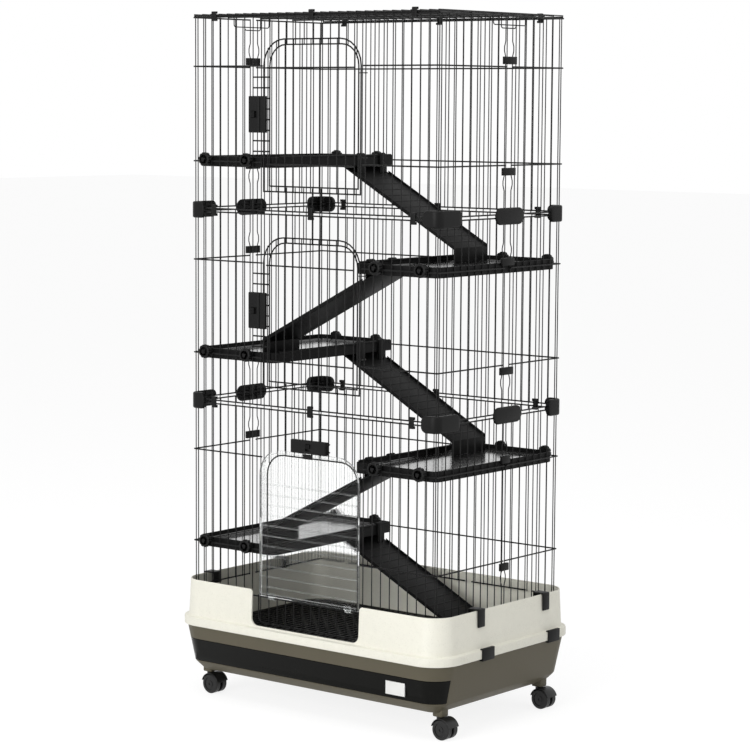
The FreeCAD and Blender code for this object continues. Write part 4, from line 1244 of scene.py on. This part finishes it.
class CAGE_OT_ramps(bpy.types.Operator):
    """Ramps hung between the platforms"""

    bl_idname = "cage.ramps"
    bl_label = "Ramps"

    def execute(self, context):
        for k in range(1, 6):
            self.ramp("ramp_%d" % k)
        return {"FINISHED"}

    def ramp(self, node):
        """Plank with raised edges, ridges, two claws and an upright leg."""
        bead = JOINT_AT[node + "_hinge"]
        low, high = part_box(node)
        out = 1 if bead.x < 0 else -1
        reach = abs((high.x if out > 0 else low.x) - bead.x)
        tuck = abs((low.x if out > 0 else high.x) - bead.x)
        drop = bead.z - low.z
        hang = 0.040
        leg = 0.034
        wall = 0.003
        thick = 0.005
        fall = (drop - leg - hang) / reach

        def at(x, lift, y):
            return Vector((bead.x + out * x, y, bead.z - hang - fall * x + lift))

        def strip(x0, x1, over, under, y0, y1, soft):
            ring = [at(x0, over, y0), at(x1, over, y0), at(x1, under, y0), at(x0, under, y0)]
            moved = add_plate(bm, ring, (0, 0, 0, 0), Vector((0, y1 - y0, 0)))
            edges = {e for v in moved for f in v.link_faces for e in f.edges}
            soften(bm, list(edges), soft, 2)

        bm = bmesh.new()
        strip(-tuck, reach - 0.0005, 0, -thick, low.y + 0.001, high.y - 0.001, 0.0008)
        upright = (bead.x + out * (reach - wall), bead.x + out * reach)
        add_box(bm, upright, (low.y, high.y), (low.z, at(reach, -0.001, 0).z), 0.0012)
        for y0, y1 in ((low.y, low.y + wall), (high.y - wall, high.y)):
            strip(0.003, reach, 0.005, -thick, y0, y1, 0.0012)
        ridges = 12
        step = reach / (ridges + 1)
        inside = (low.y + wall - 0.0005, high.y - wall + 0.0005)
        for k in range(1, ridges + 1):
            strip(*around(k * step, 0.002), 0.0008, -0.001, *inside, 0.0006)
        for y in around((low.y + high.y) / 2, 0.039):
            self.add_claw(bm, bead, out, y, hang + thick)
        dress(bm, "plank_" + node, node, ["shelf"])

    def add_claw(self, bm, bead, out, y, drop):
        """Hook round the bead with an arm down to the plank."""
        half = 0.011
        outer = 0.0064
        centre = Vector((bead.x, y, bead.z))
        add_arc(bm, centre, out, (0.0031, outer), half, (0.0008, 2), (-40, 222), 14)
        arm = (bead.x + out * 0.0034, bead.x + out * outer)
        add_box(bm, arm, around(y, half), (bead.z - drop, bead.z), 0.0008)


class CAGE_OT_floor(bpy.types.Operator):
    """Slatted floor grid"""

    bl_idname = "cage.floor"
    bl_label = "Floor grid"

    def execute(self, context):
        node = "floor_grid"
        low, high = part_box(node)
        half_x, half_y = halves(low, high)
        bm = bmesh.new()
        rim = 0.014
        corner = 0.060
        section = [(0, low.z), (0, high.z - 0.001), (0.001, high.z), (rim - 0.001, high.z),
                   (rim, high.z - 0.001), (rim, low.z)]
        add_stack(bm, MIDDLE, half_x, half_y, sizes().base_corner - 0.011, section, 8, joined=True)
        pitch = 0.017
        width = 0.009
        count = int((half_x - rim) / pitch)
        for k in range(-count, count + 1):
            x = k * pitch
            cut = max(abs(x) - (half_x - corner), 0.0)
            reach = half_y - corner + math.sqrt(max(corner ** 2 - cut ** 2, 0)) - rim / 2
            add_box(bm, around(x, width / 2), (-reach, reach), (low.z, high.z), 0.0008, 1)
            if k < count:
                gap = around(x + pitch / 2, (pitch - width) / 2 + 0.0005)
                self.add_ties(bm, gap, reach, k % 2, (low.z + 0.0005, high.z - 0.0006))
        dress(bm, "slats_floor_grid", node, ["shelf"])
        return {"FINISHED"}

    def add_ties(self, bm, gap, reach, odd, levels):
        """Short ties across a gap, staggered from one gap to the next."""
        step = 0.035
        y = -reach + 0.012 + odd * step / 2
        while y < reach - 0.010:
            add_box(bm, gap, (y, y + 0.008), levels)
            y += step


# Casters


class CAGE_OT_casters(bpy.types.Operator):
    """Hooded casters with twin wheels"""

    bl_idname = "cage.casters"
    bl_label = "Casters"

    def execute(self, context):
        for place in WHEEL_PLACES:
            self.wheels(place)
            self.hood(place)
        return {"FINISHED"}

    def wheels(self, place):
        """Two wheels spun from a treaded profile."""
        axle = JOINT_AT["roll_" + place]
        radius = axle.z
        bm = bmesh.new()
        profile = [(0.0031, 0.0), (0.0080, 0.0), (0.0082, 0.0012), (0.0150, 0.0018), (0.0156, 0.0002),
                   (0.0195, 0.0), (radius - 0.0012, 0.0006), (radius, 0.0022), (radius, 0.0066),
                   (radius - 0.0005, 0.0071), (radius - 0.0005, 0.0079), (radius, 0.0084),
                   (radius, 0.0128), (radius - 0.0012, 0.0144), (0.0195, 0.0150), (0.0156, 0.0148),
                   (0.0150, 0.0132), (0.0082, 0.0138), (0.0080, 0.0150), (0.0031, 0.0150)]
        for side in (-1, 1):
            ring = [axle + Vector((r, side * (0.0034 + w), 0)) for r, w in profile]
            add_spun(bm, ring, axle, Y_AXIS, 40)
        dress(bm, "pair_wheels_" + place, "wheels_" + place, ["caster"], 30.0)

    def hood(self, place):
        """Hood over the wheels, a web between them, and the stem."""
        node = "caster_" + place
        axle = JOINT_AT["roll_" + place]
        stem = JOINT_AT["swivel_" + place]
        low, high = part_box(node)
        half = (high.y - low.y) / 2
        inner = axle.z + 0.0013
        outer = axle.z + 0.0032
        bm = bmesh.new()
        add_arc(bm, axle, 1, (inner, outer), half, (0.0012, 3), (15, 150), 20)
        side = -0.003
        web = [Vector((0.010, side, -0.007))]
        for k in range(13):
            a = math.radians(15 + 12.5 * k)
            web.append(Vector((inner * math.cos(a), side, inner * math.sin(a))))
        web.append(Vector((-0.010, side, -0.007)))
        add_plate(bm, [axle + point for point in web], [0] * len(web), Y_AXIS * -2 * side)
        add_rod(bm, axle - Y_AXIS * (half - 0.002), axle + Y_AXIS * (half - 0.002), 0.003, 16)
        foot = axle.z + 0.018
        neck = 0.0497
        place_at = Matrix.Translation((stem.x, stem.y, (foot + neck) / 2))
        bmesh.ops.create_cone(bm, cap_ends=True, segments=24, radius1=0.0085, radius2=0.0088,
                              depth=neck - foot, matrix=place_at)
        add_rod(bm, Vector((stem.x, stem.y, neck - 0.001)), Vector((stem.x, stem.y, high.z)), 0.0045, 20)
        dress(bm, "hood_" + node, node, ["caster"], 35.0)


# Stage


class CAGE_OT_stage(bpy.types.Operator):
    """Pale floor, soft light and the camera"""

    bl_idname = "cage.stage"
    bl_label = "Stage"

    def execute(self, context):
        self.floor()
        self.world(context.scene)
        stage = context.scene.cage_stage
        for name, place, aim, width, watts in LAMPS:
            self.lamp(name, Vector(place), Vector(aim), width, getattr(stage, watts))
        self.camera(context.scene, stage)
        context.scene.view_settings.view_transform = "Standard"
        return {"FINISHED"}

    def floor(self):
        bm = bmesh.new()
        bmesh.ops.create_grid(bm, x_segments=1, y_segments=1, size=FLOOR_HALF)
        floor = to_object(bm, "studio_floor")
        finish = Finish("studio_floor")
        cloud = finish.noise(0.8)
        tone = finish.mix(cloud, (0.86, 0.86, 0.86, 1), (0.88, 0.88, 0.88, 1))
        finish.set(Base_Color=tone, Roughness=0.9)
        eye, shine, through = (finish.node("ShaderNodeLightPath", {}, {}, ray) for ray in SEEN_RAYS)
        glow = finish.node("ShaderNodeEmission", {}, {"Color": (1, 1, 1, 1), "Strength": FLOOR_GLOW})
        factor = (eye + shine + through) * FLOOR_SHARE
        base = Value(finish, finish.shader.outputs[0])
        mixed = finish.node("ShaderNodeMixShader", {}, {0: factor, 1: base, 2: glow})
        finish.feed(finish.tree.nodes["Material Output"].inputs["Surface"], mixed)
        floor.data.materials.append(finish.material)

    def world(self, scene):
        """White to the eye and in reflections, softer as light."""
        world = bpy.data.worlds.new("studio")
        scene.world = world
        world.use_nodes = True
        tree = world.node_tree
        path = tree.nodes.new("ShaderNodeLightPath")
        seen = path.outputs[SEEN_RAYS[0]]
        for ray in SEEN_RAYS[1:]:
            either = tree.nodes.new("ShaderNodeMath")
            either.operation = "MAXIMUM"
            tree.links.new(seen, either.inputs[0])
            tree.links.new(path.outputs[ray], either.inputs[1])
            seen = either.outputs[0]
        strength = tree.nodes.new("ShaderNodeMapRange")
        strength.inputs["To Min"].default_value = scene.cage_stage.sky
        strength.inputs["To Max"].default_value = 1.0
        tree.links.new(seen, strength.inputs["Value"])
        background = tree.nodes["Background"]
        background.inputs["Color"].default_value = (1, 1, 1, 1)
        tree.links.new(strength.outputs[0], background.inputs["Strength"])

    def lamp(self, name, place, aim, width, watts):
        data = bpy.data.lights.new(name, "AREA")
        data.shape = "SQUARE"
        data.size = width
        data.energy = watts
        lamp = bpy.data.objects.new(name, data)
        turn = (aim - place).to_track_quat("-Z", "Y").to_matrix().to_4x4()
        lamp.matrix_world = Matrix.Translation(place) @ turn
        bpy.context.scene.collection.objects.link(lamp)

    def camera(self, scene, stage):
        data = bpy.data.cameras.new("photo_camera")
        data.lens = stage.lens
        data.sensor_width = SENSOR
        data.clip_end = FAR
        heading, dip, roll = stage.camera_turn
        level = math.cos(dip)
        ahead = Vector((math.sin(heading) * level, math.cos(heading) * level, -math.sin(dip)))
        right = Vector((math.cos(heading), -math.sin(heading), 0))
        up = right.cross(ahead)
        tilted = right * math.cos(roll) + up * math.sin(roll)
        upward = up * math.cos(roll) - right * math.sin(roll)
        turn = Matrix((tilted, upward, -ahead)).transposed().to_4x4()
        camera = bpy.data.objects.new("photo_camera", data)
        camera.matrix_world = Matrix.Translation(stage.camera_place) @ turn
        scene.collection.objects.link(camera)
        scene.camera = camera


# Add-on


class CAGE_PT_panel(bpy.types.Panel):
    """Buttons and settings of the cage"""

    bl_idname = "CAGE_PT_panel"
    bl_label = "Small animal cage"
    bl_space_type = "VIEW_3D"
    bl_region_type = "UI"
    bl_category = "Cage"

    def draw(self, context):
        for operator in OPERATORS:
            self.layout.operator(operator.bl_idname)
        for group in ("cage_sizes", "cage_colours", "cage_stage"):
            settings = getattr(context.scene, group)
            for key in settings.__annotations__:
                self.layout.prop(settings, key)


OPERATORS = [CAGE_OT_panels, CAGE_OT_joiners, CAGE_OT_doors, CAGE_OT_latches, CAGE_OT_surround, CAGE_OT_hooks,
             CAGE_OT_tub, CAGE_OT_drawer, CAGE_OT_floor, CAGE_OT_casters, CAGE_OT_platforms, CAGE_OT_ramps,
             CAGE_OT_stage]
GROUPS = {"cage_sizes": CageSizes, "cage_colours": CageColours, "cage_stage": CageStage}


def register():
    for name, group in GROUPS.items():
        bpy.utils.register_class(group)
        setattr(bpy.types.Scene, name, PointerProperty(type=group))
    for operator in OPERATORS:
        bpy.utils.register_class(operator)
    bpy.utils.register_class(CAGE_PT_panel)


def unregister():
    bpy.utils.unregister_class(CAGE_PT_panel)
    for operator in reversed(OPERATORS):
        bpy.utils.unregister_class(operator)
    for name, group in GROUPS.items():
        delattr(bpy.types.Scene, name)
        bpy.utils.unregister_class(group)


def main():
    register()
    make_finishes()
    for operator in OPERATORS:
        group, name = operator.bl_idname.split(".")
        getattr(getattr(bpy.ops, group), name)()


if __name__ == "__main__":
    main()
